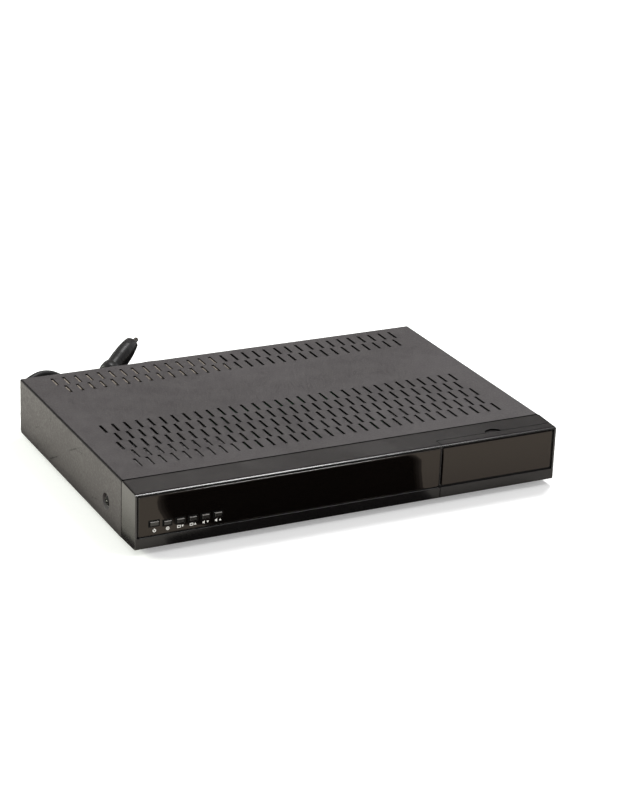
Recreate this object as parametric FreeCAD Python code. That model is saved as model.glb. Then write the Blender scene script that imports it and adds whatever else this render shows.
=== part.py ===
"""Satellite television receiver: folded steel case, moulded front with a drop-down door, mains cord.

Millimetres, +Z up. The origin is on the surface that the feet stand on, below the middle of the case
and its rear connectors. -Y is the front, +X is to the right as seen from the front.
"""

import FreeCAD, Part
import math
import os

from FreeCAD import Matrix, Placement, Vector

# Driving dimensions
caseWidth = 340.0
caseHeight = 44.0
coverDepth = 207.8
bezelDepth = 26.5
footHeight = 4.0
jackReach = 10.0  # how far the aerial connectors stand out behind the case
sheet = 1.0
seamGap = 1.1

# Places that follow from them
half = caseWidth / 2
floorZ = footHeight  # underside of the case
topZ = floorZ + caseHeight
frontY = -(bezelDepth + coverDepth + jackReach) / 2
seamY = frontY + bezelDepth
rearY = seamY + coverDepth
panelY = rearY - sheet  # outer face of the rear panel
jackY = rearY + jackReach
trayZ = floorZ + 0.4
trayTop = trayZ + sheet
flangeX = half - 3.0  # outer face of the tray's side flanges
boardZ = floorZ + 6.4
boardThick = 1.6
boardTop = boardZ + boardThick

# Cooling slots in the top cover: (distance behind the seam, slots in the row)
slotLength = 14.3
slotWidth = 1.9
slotPitch = 9.5
slotRows = [(24.9, 32), (40.9, 31), (57.7, 32), (74.3, 31), (91.2, 32), (175.8, 31), (193.0, 32)]

# Side screws in pressed dimples
dimpleY = seamY + 28.5
dimpleZ = floorZ + 16.0
dimpleR = 6.25
dimpleDepth = 2.0

# Front: gloss panel, keys and door
rim = 1.1
panelLeft = -half + 2.6
panelRight = 71.8
panelLow = floorZ + 10.1
panelHigh = floorZ + 40.7
panelFaceY = frontY + 0.8  # the gloss panel and the door's insert lie a little behind the moulding
stripHigh = floorZ + 9.6
pocketY = frontY + 2.4
pocketBackY = frontY + 4.2
partX = 72.2  # where the moulding ends and the door begins
bayY = frontY + 9.7  # front edge of the moulding behind the door
lipBack = frontY + 9.1  # rear edge of the door's top lip
bayFloorY = frontY + 12.5
bayBackY = frontY + 14.3
doorLeft = partX + 0.5
insertLeft = 73.6
insertRight = 167.6
insertLow = floorZ + 10.5
hingeY = frontY + 4.9
hingeZ = floorZ + 4.6
pinR = 1.0
notchX = 121.0
notchWidth = 13.5
notchLength = 5.0  # front to back
notchDepth = 1.5

# Keys: (name, left edge of the window, width of the window, its lower edge above the case's underside)
keyWindows = [
    ("power_key", -159.0, 7.4, 17.1),
    ("ok_key", -148.4, 6.4, 16.1),
    ("channel_down_key", -138.6, 6.4, 16.1),
    ("channel_up_key", -129.0, 6.4, 16.1),
    ("volume_down_key", -119.4, 6.4, 16.1),
    ("volume_up_key", -109.8, 6.4, 16.1),
]
windowHeight = 4.0
keyClearance = 0.45
keyFaceY = frontY + 0.1
frontBoardY = frontY + 12.2

# Card slots behind the door: (lower edge above the case's underside, height)
cardMid = 108.0
cageHalf = 30.0
moduleSlots = [(10.5, 5.6), (20.5, 5.6)]
slotHalf = 27.3
cardSlotZ = floorZ + 32.0

# Rear connectors
jackLow = floorZ + 14.5
jackHigh = floorZ + 28.5
satX = (109.0, 131.0)
aerialX = 153.0
scartX = 72.0
phonoX = (25.0, 37.0)
lanX = 7.2
hdmiX = -10.3
opticalX = -24.0
rockerX = -128.0
rockerZ = floorZ + 22.0
rockerTip = 12.0  # degrees that the rocker is tipped to each side
pivotDepth = 0.6
bushX = -156.0
bushZ = floorZ + 22.0

# Mains cord
cordR = 3.0
bushReach = 22.0
coilMiddle = Vector(-25.3, 160.2, 0)
coilInner = 24.0
coilOuter = 42.0
coilHigh = 12.0
plugFace = Vector(-44.0, 210.5, 16.2)
plugHeading = math.radians(40.3)
plugLean = math.radians(30.3)
gripLength = 37.5
neckLength = 22.0
leadRoute = [
    (-156.0, 133.15, 26.0),
    (-156.0, 144.1, 26.0),
    (-151.8, 154.1, 26.4),
    (-143.8, 161.7, 27.0),
    (-133.6, 166.0, 27.4),
    (-122.9, 167.3, 25.3),
    (-113.0, 167.0, 19.2),
    (-104.0, 163.5, 8.9),
    (-91.3, 158.9, 4.2),
    (-77.8, 160.0, 3.1),
    (-66.6, 167.1, 3.1),
    (-59.1, 179.7, 3.1),
]
tailRoute = [
    (-25.3, 121.2, 9.0),
    (-36.4, 120.3, 9.0),
    (-47.7, 118.6, 9.2),
    (-59.1, 116.4, 9.7),
    (-70.0, 116.4, 10.6),
    (-79.9, 120.6, 11.8),
    (-87.4, 127.7, 13.1),
    (-91.8, 137.1, 14.4),
    (-92.4, 147.4, 15.5),
    (-89.1, 157.2, 16.2),
    (-82.5, 165.1, 16.2),
]


def box(x0, x1, y0, y1, z0, z1):
    return Part.makeBox(x1 - x0, y1 - y0, z1 - z0, Vector(x0, y0, z0))


def prismX(outline, x0, x1):
    """An outline of (y, z) points, drawn out along X."""
    wire = Part.makePolygon([Vector(x0, y, z) for y, z in outline + outline[:1]])
    return Part.Face(wire).extrude(Vector(x1 - x0, 0, 0))


def prismY(outline, y0, y1):
    """An outline of (x, z) points, drawn out along Y."""
    wire = Part.makePolygon([Vector(x, y0, z) for x, z in outline + outline[:1]])
    return Part.Face(wire).extrude(Vector(0, y1 - y0, 0))


def rodX(r, y, z, x0, x1):
    return Part.makeCylinder(r, x1 - x0, Vector(x0, y, z), Vector(1, 0, 0))


def rodY(r, x, z, y0, y1):
    return Part.makeCylinder(r, y1 - y0, Vector(x, y0, z), Vector(0, 1, 0))


def rodZ(r, x, y, z0, z1):
    return Part.makeCylinder(r, z1 - z0, Vector(x, y, z0), Vector(0, 0, 1))


def ringY(outer, inner, x, z, y0, y1):
    return rodY(outer, x, z, y0, y1).cut(rodY(inner, x, z, y0 - 1, y1 + 1))


def spunY(profile, x, z):
    """A profile of (radius, y) points turned about an axis along Y through (x, z)."""
    points = [Vector(x + r, y, z) for r, y in profile]
    face = Part.Face(Part.makePolygon(points + points[:1]))
    return face.revolve(Vector(x, 0, z), Vector(0, 1, 0), 360)


def spunZ(profile, x, y):
    """A profile of (radius, z) points turned about an upright axis through (x, y)."""
    points = [Vector(x + r, y, z) for r, z in profile]
    face = Part.Face(Part.makePolygon(points + points[:1]))
    return face.revolve(Vector(x, y, 0), Vector(0, 0, 1), 360)


def ribbon(points, thick):
    """The outline of a bent strip that follows 2-D points, with mitred corners."""
    left, right = [], []
    for i, (a, b) in enumerate(points):
        before = points[max(i - 1, 0)]
        after = points[min(i + 1, len(points) - 1)]
        inward = (a - before[0], b - before[1]) if i else (after[0] - a, after[1] - b)
        outward = (after[0] - a, after[1] - b) if i < len(points) - 1 else inward
        n1 = math.atan2(inward[0], -inward[1])
        n2 = math.atan2(outward[0], -outward[1])
        turn = math.remainder(n2 - n1, 2 * math.pi) / 2
        reach = thick / 2 / math.cos(turn)
        da, db = reach * math.cos(n1 + turn), reach * math.sin(n1 + turn)
        left.append((a + da, b + db))
        right.append((a - da, b - db))
    return left + right[::-1]


def joined(solids):
    """One solid from several that touch or overlap."""
    return solids[0].fuse(solids[1:]).removeSplitter()


def group(solids):
    return Part.makeCompound(solids)


def roundedEdges(shape, radius, wanted):
    """Rounds the edges whose middle point passes a test."""
    edges = [e for e in shape.Edges if wanted(e.valueAt((e.FirstParameter + e.LastParameter) / 2), e)]
    return shape.makeFillet(radius, edges)


def alongAxis(edge, axis):
    d = edge.tangentAt(edge.FirstParameter)
    return abs(abs((d.x, d.y, d.z)[axis]) - 1) < 1e-6


# Case


def slotBoxes():
    boxes = []
    for behind, count in slotRows:
        y = seamY + behind
        for i in range(count):
            x = (i - (count - 1) / 2) * slotPitch
            boxes.append(box(x - slotWidth / 2, x + slotWidth / 2, y - slotLength / 2, y + slotLength / 2,
                             topZ - 2 * sheet, topZ + 1))
    return boxes


def topCover():
    """A folded sheet: top, two sides and a turned-down lip over the rear panel."""
    bend = 1.2
    outer = box(-half, half, seamY, rearY, floorZ, topZ)
    outer = roundedEdges(outer, bend, lambda p, e: p.z > topZ - 0.1 and alongAxis(e, 1))
    inner = box(-half + sheet, half - sheet, seamY - 1, rearY + 1, floorZ - 1, topZ - sheet)
    inner = roundedEdges(inner, bend - sheet, lambda p, e: p.z > topZ - 1.1 and alongAxis(e, 1))
    lip = box(-half + 5, half - 5, panelY, rearY, topZ - 9, topZ - sheet)
    cover = outer.cut(inner).fuse(lip)
    cornerCut = [(rearY - 2, floorZ - 0.1), (rearY + 0.1, floorZ - 0.1), (rearY + 0.1, floorZ + 2)]
    cuts = [prismX(cornerCut, -half - 1, half + 1)]
    cuts += slotBoxes()
    cuts += [rodY(1.7, x, topZ - 5, panelY - 1, rearY + 1) for x in (-105.0, 0.0, 105.0)]
    for side in (-1, 1):
        face = side * half
        inward = Vector(-side, 0, 0)
        cup = Part.makeCone(dimpleR + 0.6, dimpleR - 0.6, dimpleDepth + sheet,
                            Vector(face, dimpleY, dimpleZ), inward)
        cover = cover.fuse(cup)
        cuts.append(Part.makeCone(dimpleR, dimpleR - 1.2, dimpleDepth, Vector(face, dimpleY, dimpleZ), inward))
        cuts.append(Part.makeCylinder(1.7, 8, Vector(face + side * 2, dimpleY, dimpleZ), inward))
    return cover.cut(Part.makeCompound(cuts))


def bossPlaces():
    """Pressed bosses of the tray under the two circuit boards."""
    main = [(-14.0, -84.0), (70.0, -84.0), (158.0, -62.0), (-14.0, 40.0), (96.0, 40.0), (158.0, 40.0)]
    supply = [(x, y) for x in (-156.0, -42.0) for y in (30.0, 98.0)]
    return main + supply


def footPlaces():
    return [(x, y) for x in (-132.0, 132.0) for y in (seamY + 10.0, rearY - 18.0)]


def chassisTray():
    """Folded steel tray with side flanges, a front wall and pressed bosses."""
    outline = [
        (-flangeX, floorZ + 22), (-flangeX, trayZ), (flangeX, trayZ), (flangeX, floorZ + 22),
        (flangeX - sheet, floorZ + 22), (flangeX - sheet, trayTop), (-flangeX + sheet, trayTop),
        (-flangeX + sheet, floorZ + 22),
    ]
    tray = prismY(outline, seamY, panelY - sheet)
    tray = roundedEdges(tray, 1.5, lambda p, e: p.z < trayZ + 0.1 and alongAxis(e, 1))
    wall = box(-160, 160, seamY, seamY + sheet, trayZ + 0.5, floorZ + 38)
    cuts = [
        box(cardMid - 32, cardMid + 32, seamY - 1, seamY + 2, floorZ + 7.5, floorZ + 39),
        box(144, 162, seamY - 1, seamY + 2, floorZ + 5.8, floorZ + 39),
        box(12, 48, seamY - 1, seamY + 2, floorZ + 9, floorZ + 19),
    ]
    for y in (-70.0, -50.0):
        cuts += [box(x - 1.5, x + 1.5, y - 8, y + 8, trayZ - 1, trayTop + 1) for x in range(10, 130, 12)]
    cuts += [rodZ(2.1, x, y, trayZ - 1, trayTop + 1) for x, y in footPlaces()]
    for side in (-1, 1):
        cuts.append(rodX(1.4, dimpleY, dimpleZ, side * flangeX - 3, side * flangeX + 3))
    tray = tray.fuse(wall).cut(Part.makeCompound(cuts))
    bosses = [Part.makeCone(4.0, 2.6, boardZ - trayTop, Vector(x, y, trayTop)) for x, y in bossPlaces()]
    return joined([tray] + bosses)


def rearPanel():
    """Flat rear panel with an opening for each connector."""
    low, high = trayZ, topZ - sheet - 0.3
    wall = box(-half + 1.5, half - 1.5, panelY - sheet, panelY, low, high)
    cuts = [rodY(5.8, x, z, panelY - 3, panelY + 1) for x in satX + (aerialX,) for z in (jackLow, jackHigh)]
    cuts += [rodY(5.0, x, z, panelY - 3, panelY + 1) for x in phonoX for z in (jackLow, jackHigh)]
    cuts += [rodY(1.4, x, topZ - 5, panelY - 3, panelY + 1) for x in (-105.0, 0.0, 105.0)]
    cuts.append(prismY(scartOutline(0.4), panelY - 3, panelY + 1))
    cuts.append(box(lanX - 8.6, lanX + 8.6, panelY - 3, panelY + 1, boardTop - 0.3, boardTop + 26.8))
    cuts.append(box(hdmiX - 8, hdmiX + 8, panelY - 3, panelY + 1, boardTop - 0.3, boardTop + 6.6))
    cuts.append(box(opticalX - 5, opticalX + 5, panelY - 3, panelY + 1, boardTop - 0.3, boardTop + 10.4))
    cuts.append(box(rockerX - 9.7, rockerX + 9.7, panelY - 3, panelY + 1, rockerZ - 6.5, rockerZ + 6.5))
    cuts.append(rodY(5.2, bushX, bushZ, panelY - 3, panelY + 1))
    for x in range(-102, -42, 6):
        cuts.append(box(x - 1.25, x + 1.25, panelY - 3, panelY + 1, floorZ + 10, floorZ + 30))
    return wall.cut(Part.makeCompound(cuts))


def feet():
    """Four turned rubber feet with a stud that snaps into the tray."""
    profile = [(0, 0), (7.6, 0), (9.0, 1.2), (8.2, trayZ), (1.9, trayZ), (1.9, trayTop), (2.6, trayTop + 0.2),
               (1.6, trayTop + 1.8), (0, trayTop + 1.8)]
    return group([spunZ(profile, x, y) for x, y in footPlaces()])


def caseScrews():
    """Pan-head screws: two in the side dimples, three through the rear lip into the rear panel."""
    profile = [(0, rearY + 1.7), (2.4, rearY + 1.5), (3.6, rearY + 0.5), (3.6, rearY), (1.3, rearY),
               (1.3, rearY - 3), (0, rearY - 3)]
    screws = [spunY(profile, x, topZ - 5) for x in (-105.0, 0.0, 105.0)]
    for side in (-1, 1):
        screw = spunY(profile, 0, 0)
        screw.translate(Vector(0, -rearY, 0))
        screw.rotate(Vector(0, 0, 0), Vector(0, 0, 1), -90 * side)
        screw.translate(Vector(side * (half - dimpleDepth), dimpleY, dimpleZ))
        screws.append(screw)
    return group(screws)


def boardScrews():
    """Screws that hold the two boards on the tray's bosses."""
    profile = [(0, boardTop), (2.7, boardTop), (2.3, boardTop + 1.6), (0, boardTop + 1.9)]
    return group([spunZ(profile, x, y) for x, y in bossPlaces()])


# Moulded front


def frontOutline():
    """Side view of the moulding: its top and underside fall in slightly towards the front."""
    back = seamY - seamGap
    return [
        (back, floorZ + 0.2), (frontY + 0.7, floorZ + 1.1), (frontY, floorZ + 1.8),
        (frontY, floorZ + 41.8), (frontY + 0.35, floorZ + 42.5), (frontY + 1.2, floorZ + 42.9),
        (back, floorZ + 43.9),
    ]


def topAt(y):
    """Height of the moulding's top face at a distance from front to back."""
    return floorZ + 42.9 + (y - frontY - 1.2) / (bezelDepth - seamGap - 1.2)


def frontBezel():
    back = seamY - seamGap
    shell = prismX(frontOutline(), -half, half)
    shell = roundedEdges(shell, 0.8, lambda p, e: abs(p.y - frontY) < 0.01 and alongAxis(e, 2))
    wall = 2.0
    cuts = [
        box(partX, half + 1, frontY - 1, bayY, floorZ - 1, topZ + 1),
        box(partX, half - wall, frontY - 1, bayFloorY, floorZ + 3, floorZ + 40.6),
        box(-half + rim, partX + 1, frontY - 1, pocketY, stripHigh, floorZ + 41.9),
        box(-half + wall, partX - wall, pocketBackY, back + 1, floorZ + 3, floorZ + 41.2),
        box(partX, half - wall, bayBackY, back + 1, floorZ + 3, floorZ + 41.2),
        box(-12, 56, frontY, pocketBackY + 1, floorZ + 16, floorZ + 32),
        rodY(2.6, 63, floorZ + 25, frontY, pocketBackY + 1),
    ]
    for name, left, width, low in keyWindows:
        cuts.append(box(left, left + width, frontY, pocketBackY + 1, floorZ + low, floorZ + low + windowHeight))
    for low, high in moduleSlots:
        cuts.append(box(cardMid - slotHalf - 0.7, cardMid + slotHalf + 0.7, bayY, bayBackY + 1,
                        floorZ + low - 0.3, floorZ + low + high + 0.3))
    cuts.append(box(cardMid - 28, cardMid + 28, bayY, bayBackY + 1, cardSlotZ - 0.4, cardSlotZ + 1.8))
    cuts.append(box(146.2, 160.8, bayY, bayBackY + 1, floorZ + 7.8, floorZ + 15.2))
    shell = shell.cut(Part.makeCompound(cuts))
    tongue = box(-165, 165, back - 2, back + 5, topZ - sheet - 2.4, topZ - sheet - 1.0)
    sides = [box(s * (half - 2) - 0.7, s * (half - 2) + 0.7, back - 2, back + 5, floorZ + 12, floorZ + 40)
             for s in (-1, 1)]
    lugs = []
    for x0, x1 in ((partX + 1.3, partX + 3.6), (164.2, 166.4)):
        lug = [(bayFloorY + 0.5, hingeZ + 4.5), (hingeY, hingeZ + 2.3), (hingeY - 1.6, hingeZ + 1.6),
               (hingeY - 2.3, hingeZ), (hingeY - 1.6, hingeZ - 1.6), (hingeY, hingeZ - 2.3),
               (hingeY + 1.6, hingeZ - 1.6), (hingeY + 2.2, hingeZ - 0.7), (bayFloorY + 0.5, hingeZ - 0.7)]
        lugs.append(prismX(lug, x0, x1))
    bosses = [rodY(2.6, x, z, pocketBackY - 0.5, frontBoardY) for x, z in frontBoardPlaces()]
    shell = joined([shell, tongue] + sides + lugs + bosses)
    notch = Part.makeCylinder(notchWidth / 2, 6, Vector(notchX, 0, topAt(bayY) - notchDepth))
    squash = Matrix()
    squash.scale(1, notchLength / (notchWidth / 2), 1)
    notch = notch.transformGeometry(squash)
    notch.translate(Vector(0, bayY, 0))
    pins = [rodX(pinR, hingeY, hingeZ, x0 - 1, x1 + 1) for x0, x1 in ((partX, partX + 5), (164, 167))]
    return shell.cut(Part.makeCompound([notch] + pins))


def frontBoardPlaces():
    return [(x, floorZ + z) for x in (-90.0, -30.0) for z in (9.5, 36.0)]


def displayPanel():
    """Gloss acrylic sheet with softened front edges and a window for each key."""
    panel = box(panelLeft, panelRight, panelFaceY, pocketY, panelLow, panelHigh)
    panel = roundedEdges(panel, 1.2, lambda p, e: alongAxis(e, 1))
    panel = roundedEdges(panel, 0.6, lambda p, e: abs(p.y - panelFaceY) < 0.01)
    windows = [box(left, left + width, frontY - 1, pocketY + 1, floorZ + low, floorZ + low + windowHeight)
               for name, left, width, low in keyWindows]
    return panel.cut(Part.makeCompound(windows))


def key(left, width, low):
    """Key cap that stands a little proud of the panel, a flange that keeps it in, a stem to its switch."""
    c = keyClearance
    x0, x1 = left + c, left + width - c
    z0, z1 = floorZ + low + c, floorZ + low + windowHeight - c
    mid, high = (x0 + x1) / 2, (z0 + z1) / 2
    cap = box(x0, x1, keyFaceY, frontY + 5.0, z0, z1)
    cap = roundedEdges(cap, 0.5, lambda p, e: abs(p.y - keyFaceY) < 0.01)
    flange = box(x0 - 1, x1 + 1, pocketBackY + 0.3, pocketBackY + 1.3, z0 - 0.9, z1 + 0.9)
    stem = rodY(1.4, mid, high, pocketBackY + 1.3, frontY + 7.4)
    return joined([cap, flange, stem])


def doorFrame():
    """Door moulding: top lip that wraps over, plate behind the gloss insert, lower strip, end wall."""
    wall = 1.6
    profile = [
        (frontY, floorZ + 1.8), (frontY + 0.7, floorZ + 1.1), (frontY + 3.9, floorZ + 1.0),
        (frontY + 3.9, topAt(frontY + 3.9) - wall), (lipBack, topAt(lipBack) - wall),
        (lipBack, topAt(lipBack)), (frontY + 1.2, floorZ + 42.9), (frontY + 0.35, floorZ + 42.5),
        (frontY, floorZ + 41.9), (frontY + 2.2, floorZ + 41.9), (frontY + 2.2, stripHigh), (frontY, stripHigh),
    ]
    frame = prismX(profile, doorLeft, half)
    corner = 4.5
    endWall = prismX([(frontY, floorZ + 1.8), (frontY + 0.7, floorZ + 1.1), (hingeY, floorZ + 1.0),
                      (hingeY, hingeZ), (lipBack, hingeZ), (lipBack, topAt(lipBack)),
                      (frontY + 1.2, floorZ + 42.9), (frontY + 0.35, floorZ + 42.5), (frontY, floorZ + 41.9)],
                     insertRight + 1.0, half)
    heel = rodX(corner, hingeY, hingeZ, insertRight + 1.0, half)
    below = box(insertRight, half + 1, frontY - 1, lipBack + 1, floorZ - 2, floorZ + 1.05)
    knuckles = []
    for x0, x1 in ((partX + 3.9, partX + 8.5), (159.5, 163.9)):
        arm = [(frontY + 3.0, hingeZ + 5.0), (hingeY, hingeZ + 2.4), (hingeY + 1.7, hingeZ + 1.7),
               (hingeY + 2.4, hingeZ), (hingeY + 1.7, hingeZ - 1.7), (hingeY, hingeZ - 2.4),
               (frontY + 3.0, hingeZ - 3.0)]
        knuckles.append(prismX(arm, x0, x1))
    ribs = [box(x, x + 1.2, frontY + 3.5, frontY + 6.4, floorZ + 14, floorZ + 41) for x in (88.0, 121.0, 154.0)]
    frame = joined([frame, endWall, heel] + knuckles + ribs)
    frame = frame.cut(below)
    bore = rodX(pinR + 0.05, hingeY, hingeZ, partX + 3, 165)
    lugRoom = [box(x0, x1, frontY + 3.9, frontY + 12, hingeZ - 6, hingeZ + 6)
               for x0, x1 in ((partX, partX + 3.9), (163.9, insertRight + 1.0))]
    lugRoom += [rodX(2.7, hingeY, hingeZ, x0, x1) for x0, x1 in ((partX, partX + 3.9), (163.9, 166.7))]
    return frame.cut(Part.makeCompound([bore] + lugRoom))


def doorInsert():
    insert = box(insertLeft, insertRight, panelFaceY, frontY + 2.2, insertLow, panelHigh)
    insert = roundedEdges(insert, 1.2, lambda p, e: alongAxis(e, 1))
    return roundedEdges(insert, 0.6, lambda p, e: abs(p.y - panelFaceY) < 0.01)


def doorHingePins():
    return group([rodX(pinR, hingeY, hingeZ, x0, x1)
                  for x0, x1 in ((partX + 1.3, partX + 8.3), (159.7, 166.4))])


# Behind the front


def frontBoard():
    board = box(-166, 68, frontBoardY, frontBoardY + boardThick, floorZ + 5, floorZ + 39)
    screws = [rodY(1.0, x, z, frontBoardY - 1, frontBoardY + 3) for x, z in frontBoardPlaces()]
    return board.cut(Part.makeCompound(screws))


def keySwitches():
    """Tact switches: a square body and a round plunger."""
    switches = []
    for name, left, width, low in keyWindows:
        x, z = left + width / 2, floorZ + low + windowHeight / 2
        body = box(x - 3, x + 3, frontY + 8.8, frontBoardY, z - 3, z + 3)
        switches.append(joined([body, rodY(1.6, x, z, frontY + 8.0, frontY + 8.9)]))
    return group(switches)


def displayModule():
    glass = box(-14, 56, pocketBackY + 0.4, frontBoardY, floorZ + 14, floorZ + 34)
    return roundedEdges(glass, 0.8, lambda p, e: abs(p.y - pocketBackY - 0.4) < 0.01)


def infraredReceiver():
    body = box(60, 66, frontY + 8.0, frontBoardY, floorZ + 21, floorZ + 29)
    lens = Part.makeSphere(2.4, Vector(63, frontY + 8.0, floorZ + 25))
    return joined([body, lens])


def frontRibbon():
    backY = frontBoardY + boardThick
    path = [(backY, floorZ + 16), (backY + 10, floorZ + 16), (backY + 17, floorZ + 14), (-83.0, floorZ + 14)]
    return prismX(ribbon(path, 1.0), 16, 44)


def cardSlotCage():
    """Metal cage for two access modules, open at the front."""
    cage = box(cardMid - cageHalf, cardMid + cageHalf, bayBackY, bayBackY + 85, boardTop, floorZ + 30)
    cuts = [box(cardMid - slotHalf, cardMid + slotHalf, bayBackY - 1, bayBackY + 82, floorZ + low,
                floorZ + low + high) for low, high in moduleSlots]
    return cage.cut(Part.makeCompound(cuts))


def smartCardReader():
    reader = box(cardMid - 30, cardMid + 30, bayBackY, bayBackY + 58, floorZ + 30, floorZ + 35)
    return reader.cut(box(cardMid - 27.2, cardMid + 27.2, bayBackY - 1, bayBackY + 50, cardSlotZ, cardSlotZ + 1.4))


def usbShell(x, y0, y1, z0, mouth):
    """A USB socket: metal shell with a tongue. mouth is the y of its open end."""
    shell = box(x - 7.2, x + 7.2, y0, y1, z0, z0 + 7.0)
    deep = 12.0
    inside = (y0 - 1, y0 + deep) if mouth == y0 else (y1 - deep, y1 + 1)
    shell = shell.cut(box(x - 6.3, x + 6.3, inside[0], inside[1], z0 + 0.8, z0 + 6.2))
    tongue = (y0 + 2, y0 + deep + 1) if mouth == y0 else (y1 - deep - 1, y1 - 2)
    return joined([shell, box(x - 5.6, x + 5.6, tongue[0], tongue[1], z0 + 3.8, z0 + 5.4)])


def frontUsbSocket():
    return usbShell(153.5, bayBackY, bayBackY + 26, boardTop, bayBackY)


# Boards and what stands on them


def mainBoard():
    board = box(-31, 164, seamY + 2.2, panelY - 2.4, boardZ, boardTop)
    return board.cut(Part.makeCompound([rodZ(1.3, x, y, boardZ - 1, boardTop + 1) for x, y in bossPlaces()[:6]]))


def processorHeatsink():
    """Extruded sink: a base and nine fins."""
    x0, x1, y0, y1 = 10.0, 46.0, -20.0, 16.0
    chip = box(x0 + 4, x1 - 4, y0 + 4, y1 - 4, boardTop, boardTop + 2)
    base = box(x0, x1, y0, y1, boardTop + 2, boardTop + 4)
    fins = [box(x0 + i * 4.25, x0 + i * 4.25 + 1.2, y0, y1, boardTop + 3.5, boardTop + 16) for i in range(9)]
    return joined([chip, base] + fins)


def boardChips():
    flat = [(58, -20, 12, 8), (58, -6, 12, 8), (58, 8, 12, 8), (20, 34, 14, 14), (60, 36, 10, 10), (84, 62, 14, 10)]
    return group([box(x, x + w, y, y + d, boardTop, boardTop + 1.4) for x, y, w, d in flat])


def boardCapacitors():
    places = [(-8, -40), (-8, -26), (-8, -12), (84, 24), (84, 38), (138, 18), (138, 32), (56, 58)]
    profile = [(0, boardTop), (4.0, boardTop), (4.0, boardTop + 10.6), (3.5, boardTop + 11.5), (0, boardTop + 11.5)]
    return group([spunZ(profile, x, y) for x, y in places])


def boardHeaders():
    """White plug headers for the ribbon, the disk and the supply."""
    return group([
        box(15, 45, -87.0, -83.0, boardTop, floorZ + 13.5),
        box(-24, -16, -68, -50, boardTop, boardTop + 5),
        box(-27, -20, 20, 44, boardTop, boardTop + 7),
    ])


def satelliteTuners():
    """Two tin-plated tuner cans with folded lids."""
    cans = []
    for x in satX:
        can = box(x - 8, x + 8, 52, panelY - 2.0, boardTop, floorZ + 37)
        groove = box(x - 8.5, x + 8.5, 51, panelY, floorZ + 35.4, floorZ + 35.8)
        cans.append(can.cut(groove.cut(box(x - 7.7, x + 7.7, 52.3, panelY - 2.3, boardTop, topZ))))
    return group(cans)


def aerialTuner():
    can = box(aerialX - 8, aerialX + 8, 62, panelY - 2.0, boardTop, floorZ + 37)
    groove = box(aerialX - 8.5, aerialX + 8.5, 61, panelY, floorZ + 35.4, floorZ + 35.8)
    return can.cut(groove.cut(box(aerialX - 7.7, aerialX + 7.7, 62.3, panelY - 2.3, boardTop, topZ)))


def satelliteConnectors():
    """Threaded coaxial connectors, 3/8 inch, with a socket for the centre conductor."""
    profile = [(1.2, panelY - 2.0), (5.4, panelY - 2.0), (5.4, panelY + 0.6), (4.76, panelY + 0.6),
               (4.76, jackY), (3.4, jackY), (3.4, jackY - 0.5), (1.2, jackY - 0.5)]
    shells = [spunY(profile, x, z) for x in satX for z in (jackLow, jackHigh)]
    return group(shells)


def aerialConnectors():
    """Coaxial aerial connectors: socket above, plug below."""
    socket = [(1.3, panelY - 2.0), (5.4, panelY - 2.0), (5.4, panelY + 0.6), (4.75, panelY + 0.6),
              (4.75, jackY - 1), (4.1, jackY - 1), (4.1, panelY + 3), (2.4, panelY + 3), (2.4, jackY - 2),
              (1.3, jackY - 2)]
    plug = [(0, panelY - 2.0), (5.4, panelY - 2.0), (5.4, panelY + 0.6), (4.75, panelY + 0.6), (4.75, jackY - 1),
            (4.1, jackY - 1), (4.1, panelY + 1), (1.15, panelY + 1), (1.15, jackY - 1.4), (0, jackY - 1.0)]
    return group([spunY(socket, aerialX, jackHigh), spunY(plug, aerialX, jackLow)])


def scartOutline(grow):
    """The socket's outline with its slanted lower corner."""
    x0, x1 = scartX - 24.2 - grow, scartX + 24.2 + grow
    z0, z1 = floorZ + 12.5 - grow, floorZ + 27.5 + grow
    return [(x0, z0), (x1 - 8, z0), (x1, z0 + 7), (x1, z1), (x0, z1)]


def scartSocket():
    """Twenty-one way socket: slanted shell, contact block inside, board foot below."""
    shell = prismY(scartOutline(0), panelY - 20, panelY + 0.8)
    x0, x1 = scartX - 22.8, scartX + 22.8
    z0, z1 = floorZ + 13.9, floorZ + 26.1
    mouth = prismY([(x0, z0), (x1 - 7.4, z0), (x1, z0 + 6.2), (x1, z1), (x0, z1)], panelY - 14, panelY + 2)
    low, high = floorZ + 17.8, floorZ + 22.2
    block = box(scartX - 19.5, scartX + 17.5, panelY - 14.5, panelY - 2, low, high)
    foot = box(scartX - 23, scartX + 14, panelY - 20, panelY - 3, boardTop, floorZ + 13)
    cuts = []
    for row in (low, high):
        cuts += [box(scartX - 18 + 3.7 * i, scartX - 16.4 + 3.7 * i, panelY - 12, panelY - 1, row - 0.8, row + 0.8)
                 for i in range(9)]
    return joined([shell.cut(mouth), block, foot]).cut(Part.makeCompound(cuts))


def phonoHousing():
    """Moulded block that carries the four phono jacks."""
    return box(phonoX[0] - 6.3, phonoX[1] + 6.3, panelY - 13, panelY - sheet, boardTop, floorZ + 36)


def phonoShells():
    """Plated phono jacks: a tube for the outer contact."""
    return group([ringY(4.15, 3.2, x, z, panelY - sheet, jackY - 1.4) for x in phonoX for z in (jackLow, jackHigh)])


def phonoCores():
    """Coloured insulators inside the phono jacks, with a bore for the centre pin."""
    return group([ringY(3.2, 1.65, x, z, panelY - sheet, jackY - 2.0) for x in phonoX for z in (jackLow, jackHigh)])


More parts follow.
